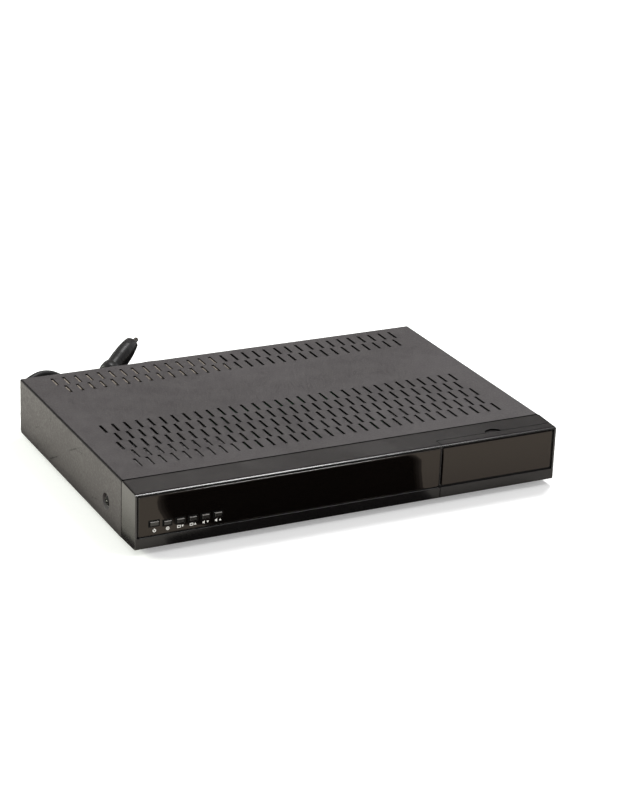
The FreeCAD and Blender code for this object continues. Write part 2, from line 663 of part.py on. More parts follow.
def hdmiSocket():
    """Small metal shell with tapered lower corners and a tongue."""
    def outline(grow):
        w, high = 7.6 + grow, 6.0 + grow
        z0 = boardTop - grow
        return [(hdmiX - w, z0 + high + grow), (hdmiX - w, z0 + 2.2), (hdmiX - w + 2, z0), (hdmiX + w - 2, z0),
                (hdmiX + w, z0 + 2.2), (hdmiX + w, z0 + high + grow)]
    shell = prismY(outline(0), panelY - 12, panelY + 0.4)
    shell = shell.cut(prismY(outline(-0.6), panelY - 10, panelY + 2))
    return joined([shell, box(hdmiX - 5.6, hdmiX + 5.6, panelY - 10.5, panelY - 1.5, boardTop + 2.2, boardTop + 3.6)])


def lanUsbSocket():
    """Stacked metal socket: network jack with its latch notch below, USB above."""
    z0 = boardTop
    shell = box(lanX - 8.2, lanX + 8.2, panelY - 20, panelY + 0.6, z0, z0 + 26.4)
    jack = box(lanX - 5.9, lanX + 5.9, panelY - 14, panelY + 2, z0 + 4.2, z0 + 11.2)
    latch = box(lanX - 3, lanX + 3, panelY - 14, panelY + 2, z0 + 1.6, z0 + 4.3)
    usb = box(lanX - 6.4, lanX + 6.4, panelY - 12, panelY + 2, z0 + 17.6, z0 + 23.2)
    tongue = box(lanX - 5.7, lanX + 5.7, panelY - 13, panelY - 1.4, z0 + 20.4, z0 + 22.0)
    return joined([shell.cut(Part.makeCompound([jack, latch, usb])), tongue])


def opticalOutput():
    """Optical output: square moulding with a shuttered port."""
    z0 = boardTop
    body = box(opticalX - 4.8, opticalX + 4.8, panelY - 14, panelY + 0.8, z0, z0 + 10.0)
    port = box(opticalX - 3.2, opticalX + 3.2, panelY - 2.5, panelY + 2, z0 + 2.0, z0 + 8.4)
    return body.cut(port)


# Mains supply


def supplyBoard():
    board = box(-162, -35, seamY + 116, panelY - 2.4, boardZ, boardTop)
    return board.cut(Part.makeCompound([rodZ(1.3, x, y, boardZ - 1, boardTop + 1) for x, y in bossPlaces()[6:]]))


def supplyTransformer():
    """Ferrite core around a wound bobbin."""
    x, y = -78.0, 65.0
    core = box(x - 14, x + 14, y - 13, y + 13, boardTop, boardTop + 22)
    bobbin = box(x - 9.5, x + 9.5, y - 16, y + 16, boardTop + 3, boardTop + 19)
    flanges = [box(x - 10, x + 10, y + side - 0.8, y + side + 0.8, boardTop + 1.5, boardTop + 20.5)
               for side in (-16, 16)]
    return joined([core, bobbin] + flanges)


def supplyCapacitors():
    def can(x, y, r, high):
        profile = [(0, boardTop), (r, boardTop), (r, boardTop + high - 1), (r - 0.8, boardTop + high),
                   (0, boardTop + high)]
        return spunZ(profile, x, y)
    return group([can(-112, 52, 9.0, 25), can(-50, 50, 5.0, 20), can(-50, 64, 5.0, 20), can(-50, 78, 5.0, 20)])


def supplyHeatsinks():
    """Two folded aluminium plates with their power devices' edges."""
    sinks = []
    for x in (-98.0, -62.0):
        path = [(x - 5, boardTop + 24), (x, boardTop + 24), (x, boardTop)]
        sinks.append(prismY(ribbon(path, 2.0), 84, 100))
    return group(sinks)


def supplyFilter():
    """Mains input parts: choke, suppression capacitor and fuse."""
    choke = box(-150, -132, 56, 72, boardTop, boardTop + 18)
    choke = choke.cut(rodY(5, -141, boardTop + 9.5, 50, 80))
    film = box(-152, -134, 80, 88, boardTop, boardTop + 15)
    fuse = rodX(2.6, 36, boardTop + 3.4, -134, -114)
    clips = [box(x, x + 3, 33, 39, boardTop, boardTop + 3.4) for x in (-133.5, -117.5)]
    return group([choke, film, joined([fuse] + clips)])


def supplyShield():
    """Folded tin-plate cover over the supply, open at the back and slotted on top."""
    x0, x1, y0, y1 = -165.6, -32.4, seamY + 113.5, panelY - 1.2
    top = floorZ + 37.0
    shield = box(x0, x1, y0, y1, trayTop, top)
    shield = roundedEdges(shield, 1.2, lambda p, e: p.z > top - 0.1 and p.y < y1 - 0.1)
    t = 0.8
    cuts = [box(x0 + t, x1 - t, y0 + t, y1 + 1, trayTop - 1, top - t),
            box(x1 - 2, x1 + 1, 20.4, 44, boardTop + 1, boardTop + 12)]
    cuts += [box(x - 2, x + 2, 38, 62, top - 2, top + 1) for x in range(-150, -40, 12)]
    return shield.cut(Part.makeCompound(cuts))


def mainsSwitchBody():
    """Rocker switch housing: bezel, body with its hollow, and two pins for the rocker."""
    x0, x1 = rockerX - 10.5, rockerX + 10.5
    z0, z1 = rockerZ - 7.5, rockerZ + 7.5
    bezel = box(x0, x1, panelY, panelY + 2.0, z0, z1)
    bezel = roundedEdges(bezel, 0.8, lambda p, e: p.y > panelY + 1.9)
    body = box(rockerX - 9.5, rockerX + 9.5, panelY - 14, panelY, rockerZ - 6.3, rockerZ + 6.3)
    hollow = box(rockerX - 8.2, rockerX + 8.2, panelY - 9, panelY + 3, rockerZ - 5, rockerZ + 5)
    pins = [Part.makeCylinder(1.1, 1.6, Vector(rockerX, panelY - pivotDepth, rockerZ + s * 5.2), Vector(0, 0, -s))
            for s in (-1, 1)]
    tabs = [box(rockerX + dx - 2.4, rockerX + dx + 2.4, panelY - 22, panelY - 14, rockerZ - 0.4, rockerZ + 0.4)
            for dx in (-5.0, 5.0)]
    return joined([joined([bezel, body]).cut(hollow)] + pins + tabs)


def mainsRocker():
    """Rocker with a shallow V across its face. It turns on the housing's two pins and rests tipped."""
    face = [(-7.2, 3.1), (0, 1.6), (7.2, 3.1), (6.2, -2.6), (1.8, -4.2), (-1.8, -4.2), (-6.2, -2.6)]
    outline = [Vector(x, y, -4.7) for x, y in face]
    rocker = Part.Face(Part.makePolygon(outline + outline[:1])).extrude(Vector(0, 0, 9.4))
    holes = [Part.makeCylinder(1.15, 1.5, Vector(0, 0, s * 5.0), Vector(0, 0, -s)) for s in (-1, 1)]
    rocker = rocker.cut(Part.makeCompound(holes))
    rocker.rotate(Vector(0, 0, 0), Vector(0, 0, 1), -rockerTip)
    rocker.translate(Vector(rockerX, panelY - pivotDepth, rockerZ))
    return rocker


# Hard disk


diskLow = floorZ + 27.0
diskX = (-162.0, -62.0)
diskY = (seamY + 3.5, seamY + 73.4)


def hardDisk():
    """Cast body with a pressed lid."""
    body = box(diskX[0], diskX[1], diskY[0], diskY[1], diskLow, diskLow + 7.0)
    body = roundedEdges(body, 2.0, lambda p, e: alongAxis(e, 2))
    lid = box(diskX[0] + 1.5, diskX[1] - 6, diskY[0] + 1.5, diskY[1] - 1.5, diskLow + 7.0, diskLow + 9.5)
    lid = roundedEdges(lid, 3.0, lambda p, e: alongAxis(e, 2))
    return joined([body, lid])


def diskBracket():
    """Folded bridge that holds the disk above the tray."""
    path = [(-160.0, trayTop + 0.5), (-164.4, trayTop + 0.5), (-164.4, diskLow - 0.5), (-59.0, diskLow - 0.5),
            (-59.0, trayTop + 0.5), (-63.4, trayTop + 0.5)]
    bridge = prismY(ribbon(path, sheet), diskY[0], diskY[1] - 4)
    holes = [box(-146, -78, diskY[0] + 14, diskY[1] - 18, diskLow - 2, diskLow + 1)]
    return bridge.cut(Part.makeCompound(holes))


def diskCable():
    path = [(diskX[1], diskLow + 3), (-50, diskLow + 3), (-42, diskLow - 2), (-26, boardTop + 5.5), (-16, boardTop + 5.5)]
    return prismY(ribbon(path, 1.0), -66, -52)


def powerHarness():
    path = [(-40, boardTop + 9), (-30, boardTop + 9), (-27, boardTop + 7.5), (-20.5, boardTop + 7.5)]
    return prismY(ribbon(path, 1.0), 23, 41)


# Mains cord


def cordBush():
    """Tapered strain relief, gripped in the rear panel."""
    profile = [(cordR, panelY - 5), (6.6, panelY - 5), (6.6, panelY - sheet), (5.0, panelY - sheet), (5.0, panelY),
               (6.8, panelY), (6.8, panelY + 2), (5.4, panelY + 3), (3.9, panelY + bushReach),
               (cordR, panelY + bushReach)]
    core = rodY(cordR, bushX, bushZ, panelY - 5, panelY + bushReach)
    return joined([spunY(profile, bushX, bushZ), core])


def tube(points, r):
    """Straight runs joined by tangent arcs. Also gives the path's length and its smallest arc."""
    pts = [Vector(*p) for p in points]
    edges, length, radii = [], 0.0, []
    start = pts[0]
    for a, b, c in zip(pts, pts[1:], pts[2:]):
        u, v = (b - a).normalize(), (c - b).normalize()
        turn = u.getAngle(v)
        short = min((b - a).Length, (c - b).Length)
        radius = 0.45 * short / math.tan(turn / 2)
        cut = 0.45 * short
        p, q = b - u * cut, b + v * cut
        middle = b + (v - u).normalize() * (radius / math.cos(turn / 2) - radius)
        edges += [Part.LineSegment(start, p).toShape(), Part.Arc(p, middle, q).toShape()]
        radii.append(radius)
        start = q
    edges.append(Part.LineSegment(start, pts[-1]).toShape())
    path = Part.Wire(edges)
    first = (pts[1] - pts[0]).normalize()
    ring = Part.Wire(Part.makeCircle(r, pts[0], first))
    solid = path.makePipeShell([ring], True, False)
    expected = math.pi * r * r * path.Length
    print("  tube length %.1f mm, arcs from %.1f mm, volume off by %.2f%%"
          % (path.Length, min(radii), 100 * (solid.Volume / expected - 1)))
    print("  arcs", [round(x, 1) for x in radii])
    return solid


def cordCoil():
    """The outer shape of a neat coil, three turns wide and two high."""
    c, low = 2.2, 0.0
    profile = [(coilInner + c, low), (coilOuter - c, low), (coilOuter, c), (coilOuter, coilHigh - c),
               (coilOuter - c, coilHigh), (coilInner + c, coilHigh), (coilInner, coilHigh - c), (coilInner, c)]
    return spunZ(profile, coilMiddle.x, coilMiddle.y)


def cordTie():
    """A wire tie bent round the coil."""
    angle = math.radians(-35)
    x = coilMiddle.x + math.cos(angle) * (coilInner + coilOuter) / 2
    y = coilMiddle.y + math.sin(angle) * (coilInner + coilOuter) / 2
    span = (coilOuter - coilInner) / 2
    t = 0.9
    outer = Part.makeBox(2 * (span + t), 3.0, coilHigh + t, Vector(-span - t, -1.5, 0))
    inner = Part.makeBox(2 * span + 0.2, 5.0, coilHigh + 0.1, Vector(-span - 0.1, -2.5, 0))
    tie = outer.cut(inner)
    tie.rotate(Vector(0, 0, 0), Vector(0, 0, 1), math.degrees(angle))
    tie.translate(Vector(x, y, 0))
    return tie


def plugPlacement():
    """The plug stands on its narrow edge and leans on the coil. Local Y points along the pins."""
    a = Vector(math.sin(plugHeading), math.cos(plugHeading), 0)
    up = Vector(0, 0, 1)
    side = a.cross(up)
    w = up * math.cos(plugLean) + side * math.sin(plugLean)
    t = a.cross(w)
    m = Matrix(w.x, a.x, -t.x, plugFace.x, w.y, a.y, -t.y, plugFace.y, w.z, a.z, -t.z, plugFace.z, 0, 0, 0, 1)
    return Placement(m)


def stadium(y, halfWide, halfThick):
    """A wire with two flat sides and two round ends, in the plane of a local y."""
    c = halfWide - halfThick
    p = [Vector(-c, y, halfThick), Vector(c, y, halfThick), Vector(halfWide, y, 0), Vector(c, y, -halfThick),
         Vector(-c, y, -halfThick), Vector(-halfWide, y, 0)]
    return Part.Wire([Part.LineSegment(p[0], p[1]).toShape(), Part.Arc(p[1], p[2], p[3]).toShape(),
                      Part.LineSegment(p[3], p[4]).toShape(), Part.Arc(p[4], p[5], p[0]).toShape()])


def mainsPlug():
    """Flat two-pin plug: a lofted grip that narrows to its tapered strain relief."""
    sections = [(0, 17.65, 6.85), (-8, 17.65, 6.85), (-20, 14.5, 6.6), (-34, 8.4, 6.3), (-38, 6.4, 6.2)]
    body = Part.makeLoft([stadium(*s) for s in sections], True, True)
    relief = Part.makeCone(5.4, 3.9, neckLength, Vector(0, -gripLength, 0), Vector(0, -1, 0))
    plug = joined([body, relief])
    holes = [Part.makeCylinder(2.0, 6, Vector(x, -6, 0), Vector(0, 1, 0)) for x in (-9.3, 9.3)]
    plug = plug.cut(Part.makeCompound(holes))
    plug.Placement = plugPlacement()
    return plug


def plugPins():
    pins = []
    for x in (-9.3, 9.3):
        shaft = Part.makeCylinder(2.0, 24, Vector(x, -6, 0), Vector(0, 1, 0))
        pins.append(shaft.fuse(Part.makeCone(2.0, 1.2, 1.0, Vector(x, 18, 0), Vector(0, 1, 0))))
    pins = group(pins)
    pins.Placement = plugPlacement()
    return pins


def cordLead():
    return tube(leadRoute, cordR)


def cordTail():
    return tube(tailRoute, cordR)


nodes = {
    "top_cover": topCover, "chassis_tray": chassisTray, "rear_panel": rearPanel, "feet": feet,
    "case_screws": caseScrews, "board_screws": boardScrews,
    "front_bezel": frontBezel, "display_panel": displayPanel, "door_frame": doorFrame,
    "door_insert": doorInsert, "door_hinge_pins": doorHingePins, "front_board": frontBoard,
    "key_switches": keySwitches, "display_module": displayModule, "infrared_receiver": infraredReceiver,
    "front_ribbon": frontRibbon, "card_slot_cage": cardSlotCage, "smart_card_reader": smartCardReader,
    "front_usb_socket": frontUsbSocket, "main_board": mainBoard, "processor_heatsink": processorHeatsink,
    "board_chips": boardChips, "board_capacitors": boardCapacitors, "board_headers": boardHeaders,
    "satellite_tuners": satelliteTuners, "aerial_tuner": aerialTuner,
    "satellite_connectors": satelliteConnectors, "aerial_connectors": aerialConnectors,
    "scart_socket": scartSocket, "phono_housing": phonoHousing, "phono_shells": phonoShells,
    "phono_cores": phonoCores, "hdmi_socket": hdmiSocket, "lan_usb_socket": lanUsbSocket,
    "optical_output": opticalOutput, "supply_board": supplyBoard, "supply_transformer": supplyTransformer,
    "supply_capacitors": supplyCapacitors, "supply_heatsinks": supplyHeatsinks,
    "supply_filter": supplyFilter, "supply_shield": supplyShield, "mains_switch_body": mainsSwitchBody,
    "mains_rocker": mainsRocker, "hard_disk": hardDisk, "disk_bracket": diskBracket,
    "disk_cable": diskCable, "power_harness": powerHarness, "cord_bush": cordBush, "cord_lead": cordLead,
    "cord_coil": cordCoil, "cord_tie": cordTie, "cord_tail": cordTail, "mains_plug": mainsPlug,
    "plug_pins": plugPins,
}


def main():
    os.makedirs("parts", exist_ok=True)
    shapes = {name: make() for name, make in nodes.items()}
    for name, left, width, low in keyWindows:
        shapes[name] = key(left, width, low)
    for name, shape in shapes.items():
        if not shape.isValid():
            print("not valid:", name)
        shape.exportStep("parts/%s.step" % name)
    print(len(shapes), "nodes")


main()
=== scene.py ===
import math
from functools import reduce

import bmesh
import bpy
from mathutils import Matrix, Vector


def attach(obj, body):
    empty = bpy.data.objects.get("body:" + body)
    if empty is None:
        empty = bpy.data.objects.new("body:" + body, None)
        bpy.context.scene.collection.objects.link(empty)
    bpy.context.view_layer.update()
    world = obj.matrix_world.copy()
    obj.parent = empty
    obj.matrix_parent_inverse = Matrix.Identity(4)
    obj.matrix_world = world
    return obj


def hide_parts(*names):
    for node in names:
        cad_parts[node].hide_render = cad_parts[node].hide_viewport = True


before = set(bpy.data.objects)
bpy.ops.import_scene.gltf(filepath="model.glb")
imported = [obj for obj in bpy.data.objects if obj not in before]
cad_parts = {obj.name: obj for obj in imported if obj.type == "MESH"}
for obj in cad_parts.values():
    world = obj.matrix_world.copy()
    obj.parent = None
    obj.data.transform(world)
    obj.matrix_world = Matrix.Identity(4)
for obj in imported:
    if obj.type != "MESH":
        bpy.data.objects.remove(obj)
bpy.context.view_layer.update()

mm = 0.001
print("frame loaded,", len(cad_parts), "parts")


def metres(values):
    return [c * mm for c in values]


def lengths(values):
    return {label: value * mm for label, value in values.items()}


def turnBy(degrees, axis):
    return Matrix.Rotation(math.radians(degrees), 4, axis)


# turns that take local Z to +Y, to -Y and to +X
alongY, againstY = turnBy(-90, "X"), turnBy(90, "X")
alongX = Matrix(((0, 0, 1, 0), (1, 0, 0, 0), (0, 1, 0, 0), (0, 0, 0, 1)))


def addObject(name, data):
    made = bpy.data.objects.new(name, data)
    bpy.context.collection.objects.link(made)
    return made


cameraSet = {
    "place": (-0.73686, -1.49394, 0.71242),
    "azimuth": 26.9698,
    "elevation": 21.7199,
    "roll": -2.1659,
    "lens": 105.886,  # for a 36 mm high sensor
}


def makeCamera(s):
    az, el, roll = (math.radians(s[k]) for k in ("azimuth", "elevation", "roll"))
    forward = Vector((math.sin(az) * math.cos(el), math.cos(az) * math.cos(el), -math.sin(el)))
    level = forward.cross(Vector((0, 0, 1))).normalized()
    down = forward.cross(level)
    right = level * math.cos(roll) + down * math.sin(roll)
    up = right.cross(forward)
    data = bpy.data.cameras.new("camera")
    data.sensor_fit = "VERTICAL"
    data.sensor_height = 36.0
    data.lens = s["lens"]
    data.clip_start = 0.05
    data.clip_end = 40
    camera = addObject("camera", data)
    camera.matrix_world = Matrix.Translation(s["place"]) @ Matrix((right, up, -forward)).transposed().to_4x4()
    bpy.context.scene.camera = camera


makeCamera(cameraSet)


# small helpers for meshes and pieces; lengths are in millimetres unless a note says otherwise
def addPiece(name, shape, look, body="case", replaced=()):
    # the shape is a mesh or a bmesh, the look a name of a finish
    mesh = finished(shape, name) if isinstance(shape, bmesh.types.BMesh) else shape
    piece = addObject(name, mesh)
    mesh.materials.clear()
    mesh.materials.append(finish[look])
    if replaced:
        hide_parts(*replaced)
    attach(piece, body)
    return piece


def softEdges(mesh, degrees=35):
    mesh.shade_smooth()
    mesh.set_sharp_from_angle(angle=math.radians(degrees))
    return mesh


def finished(bm, name, degrees=35):
    bmesh.ops.remove_doubles(bm, verts=bm.verts, dist=1e-7)
    bmesh.ops.recalc_face_normals(bm, faces=bm.faces)
    mesh = bpy.data.meshes.new(name)
    bm.to_mesh(mesh)
    bm.free()
    return softEdges(mesh, degrees)


def addBox(bm, low, high):
    low, high = Vector(metres(low)), Vector(metres(high))
    size = high - low
    for v in bmesh.ops.create_cube(bm, size=1)["verts"]:
        v.co = low + Vector([(c + 0.5) * side for c, side in zip(v.co, size)])


def joinRings(bm, a, b):
    # a strip of faces from one closed ring of points to the next
    for i in range(len(a)):
        j = (i + 1) % len(a)
        bm.faces.new((a[i], a[j], b[j], b[i]))


def putIn(bm, verts, spot, turn):
    bmesh.ops.transform(bm, matrix=Matrix.Translation(metres(spot)) @ turn, verts=verts)


def addSpun(bm, profile, sides, spot, turn=alongY):
    # profile of (radius, height) turned about the local Z axis
    rings = []
    for r, z in sized(profile):
        if r < 1e-9:
            rings.append([bm.verts.new((0, 0, z))])
        else:
            rings.append([bm.verts.new((r * math.cos(a), r * math.sin(a), z))
                          for a in (2 * math.pi * i / sides for i in range(sides))])
    for low, high in zip(rings, rings[1:]):
        for i in range(sides):
            j = (i + 1) % sides
            corners = [low[i % len(low)], low[j % len(low)], high[j % len(high)], high[i % len(high)]]
            bm.faces.new(list(dict.fromkeys(corners)))
    putIn(bm, [v for ring in rings for v in ring], spot, turn)


def addPrism(bm, outline, low, high, spot=(0, 0, 0), turn=Matrix.Identity(4)):
    # a flat outline of (x, y) points drawn out along the local Z axis
    bottom, top = ([bm.verts.new((x, y, z * mm)) for x, y in sized(outline)] for z in (low, high))
    bm.faces.new(bottom[::-1])
    bm.faces.new(top)
    joinRings(bm, bottom, top)
    putIn(bm, bottom + top, spot, turn)
    return bottom + top


def sized(points):
    return [(a * mm, b * mm) for a, b in points]


def oblong(x0, y0, x1, y1):
    return [(x0, y0), (x1, y0), (x1, y1), (x0, y1)]


def plainMesh(piece):
    # the evaluated object as a mesh of its own; the object itself goes
    graph = bpy.context.evaluated_depsgraph_get()
    mesh = bpy.data.meshes.new_from_object(piece.evaluated_get(graph), preserve_all_data_layers=True,
                                           depsgraph=graph)
    mesh.transform(piece.matrix_world)
    bpy.data.objects.remove(piece)
    return mesh


# shader groups and materials
def newTree(name, treeKind, inputs, outputs):
    tree = bpy.data.node_groups.new(name, treeKind)
    for label, kind, value in inputs:
        socket = tree.interface.new_socket(label, in_out="INPUT", socket_type="NodeSocket" + kind)
        if value is not None:
            socket.default_value = value
    for label, kind in outputs:
        tree.interface.new_socket(label, in_out="OUTPUT", socket_type="NodeSocket" + kind)
    return tree, tree.nodes.new("NodeGroupInput").outputs, tree.nodes.new("NodeGroupOutput").inputs


def shaderGroup(name, *outputs, **inputs):
    return newTree(name, "ShaderNodeTree", [(label.replace("_", " "), "Float", inputs[label]) for label in inputs],
                   [(label, "Float") for label in outputs])


def feed(tree, socket, value):
    if isinstance(value, bpy.types.NodeSocket):
        tree.links.new(value, socket)
    elif value is not None:
        socket.default_value = value


def addNode(tree, kind, **values):
    # values go to the input of that label, with _ for a space, or to the node's own setting
    node = tree.nodes.new(kind)
    for key, value in values.items():
        label = key.replace("_", " ")
        if label in node.inputs:
            feed(tree, node.inputs[label], value)
        else:
            setattr(node, key, value)
    return node


def outputOf(tree, kind, **values):
    return addNode(tree, kind, **values).outputs[0]


def mathNode(tree, operation, a, b=None, clamp=False):
    node = addNode(tree, "ShaderNodeMath", operation=operation, use_clamp=clamp)
    for socket, value in zip(node.inputs, (a, b)):
        feed(tree, socket, value)
    return node.outputs[0]


def product(tree, *factors):
    return reduce(lambda a, b: mathNode(tree, "MULTIPLY", a, b), factors)


def noiseNode(tree, vector, scale, detail=2.0, roughness=0.5):
    return outputOf(tree, "ShaderNodeTexNoise", Vector=vector, Scale=scale, Detail=detail, Roughness=roughness)


def spread(tree, value, low, high, toLow=0.0, toHigh=1.0):
    return outputOf(tree, "ShaderNodeMapRange", clamp=True, Value=value, From_Min=low, From_Max=high, To_Min=toLow,
                    To_Max=toHigh)


def objectPlace(tree):
    return addNode(tree, "ShaderNodeTexCoord").outputs["Object"]


def axes(tree, output="Object"):
    # X, Y and Z of the place on the piece, or of its normal
    return addNode(tree, "ShaderNodeSeparateXYZ", Vector=addNode(tree, "ShaderNodeTexCoord").outputs[output]).outputs


def makeGrain():
    # fine bumps of paint or moulded plastic, and a slow change of tone
    group, inside, outside = shaderGroup("surface grain", "Height", "Tone", Scale=1500.0, Blotch_Scale=12.0,
                                         Speckle=0.0, Ripple=0.0)
    where = objectPlace(group)
    fine = noiseNode(group, where, inside["Scale"], 3.0, 0.6)
    slow = spread(group, noiseNode(group, where, inside["Blotch Scale"], 3.0, 0.55), 0.3, 0.7)
    speck = mathNode(group, "SUBTRACT", noiseNode(group, where, 620.0, 2.0, 0.7), 0.5)
    wave = product(group, noiseNode(group, where, 110.0, 2.0, 0.5), inside["Ripple"])
    group.links.new(mathNode(group, "ADD", fine, wave), outside["Height"])
    speck = product(group, speck, inside["Speckle"])
    group.links.new(mathNode(group, "ADD", slow, speck, True), outside["Tone"])
    return group


def makeDust():
    # light dust that settles on faces that look up
    group, inside, outside = shaderGroup("settled dust", "Mask", Amount=0.1, Scale=60.0)
    where = objectPlace(group)
    upward = spread(group, axes(group, "Normal")["Z"], 0.2, 1.0)
    cloud = spread(group, noiseNode(group, where, inside["Scale"], 4.0, 0.6), 0.35, 0.75)
    speck = spread(group, noiseNode(group, where, 900.0, 1.0), 0.66, 0.74)
    both = mathNode(group, "ADD", cloud, speck, True)
    group.links.new(product(group, both, upward, inside["Amount"]), outside["Mask"])
    return group


def makeRub():
    # fine rub marks that run two ways, for handled faces
    group, inside, outside = shaderGroup("rub marks", "Mask", Scale=30.0, Amount=0.3)
    where = objectPlace(group)
    marks = []
    for turn, stretch in (((0.3, 0.2, 0.5), (1.0, 14.0, 9.0)), ((0.9, 0.1, -0.7), (16.0, 1.0, 7.0))):
        mapping = addNode(group, "ShaderNodeMapping", Vector=where, Rotation=turn, Scale=stretch)
        marks.append(spread(group, noiseNode(group, mapping.outputs[0], inside["Scale"], 2.0, 0.6), 0.68, 0.72))
    patch = spread(group, noiseNode(group, where, 9.0, 2.0), 0.45, 0.65)
    both = mathNode(group, "ADD", *marks, True)
    group.links.new(product(group, both, patch, inside["Amount"]), outside["Mask"])
    return group


# scratches on the cover, and painted shade along the bend and the seams, on the slot walls and rims, in the notch and
# on the moulding
coverScratchesAndShade = {
    # in millimetres; scratches on the left side as (y, z) of both ends and a width
    "scratches": [((5.3, 30.6), (-16.1, 41.4), 0.5), ((-9.0, 36.6), (-20.0, 38.2), 0.4),
                  ((47.1, 7.3), (29.6, 16.4), 0.5), ((44.3, 40.6), (44.6, 38.6), 0.8),
                  ((78.0, 21.0), (70.0, 24.5), 0.3), ((-40.0, 12.0), (-52.0, 15.0), 0.3)],
    # painted shade along the bend of the cover starts here
    "bendStart": 168.75,
    "sideLimit": 165.0,  # slots lie within this
    "seam": (-96.2, 0.95),  # painted shade along the seam: middle and half width
    "doorSeam": (-112.75, 0.75, 72.3),  # painted shade along the door's seam: middle, half width, where it starts
    # painted shade in the notch: its middle as x and y, and its reach
    "notch": (121.0, -110.5, 8.0),
    "mouldingShade": (0.44, 0.3, 0.2),  # painted shade on the moulding: foot, right end of the top, sides
    "frontEdge": (-120.0, 0.9, 0.8, 0.4),  # painted shade in a line behind the bevel: middle, half width, depth; how much painted shade dims the bevel
    # cooling slots: rows of 32 and of 31 as places along Y, then pitch, half width, half length and a rim of painted
    # shade
    "longRows": [-70.75, -37.95, -4.45, 97.35],
    "shortRows": [-54.75, -21.35, 80.15],
    "slot": (9.5, 0.95, 7.15, 0.28),
}


def vectorMath(tree, operation, a, b, scalar=False):
    node = addNode(tree, "ShaderNodeVectorMath", operation=operation)
    feed(tree, node.inputs[0], a)
    feed(tree, node.inputs["Scale" if operation == "SCALE" else 1], b)
    return node.outputs[1 if scalar else 0]


def strokeMask(tree, where, start, end, width):
    # one scratch: near enough to the line from start to end
    a, b = Vector((0, start[0], start[1])) * mm, Vector((0, end[0], end[1])) * mm
    offset = vectorMath(tree, "SUBTRACT", where, tuple(a))
    along = vectorMath(tree, "DOT_PRODUCT", offset, tuple((b - a) / (b - a).length_squared), True)
    along = mathNode(tree, "MINIMUM", mathNode(tree, "MAXIMUM", along, 0.0), 1.0)
    foot = vectorMath(tree, "SCALE", tuple(b - a), along)
    gap = vectorMath(tree, "LENGTH", vectorMath(tree, "SUBTRACT", offset, foot), (0, 0, 0), True)
    return spread(tree, gap, width * 0.4 * mm, width * 1.4 * mm, 1.0, 0.0)


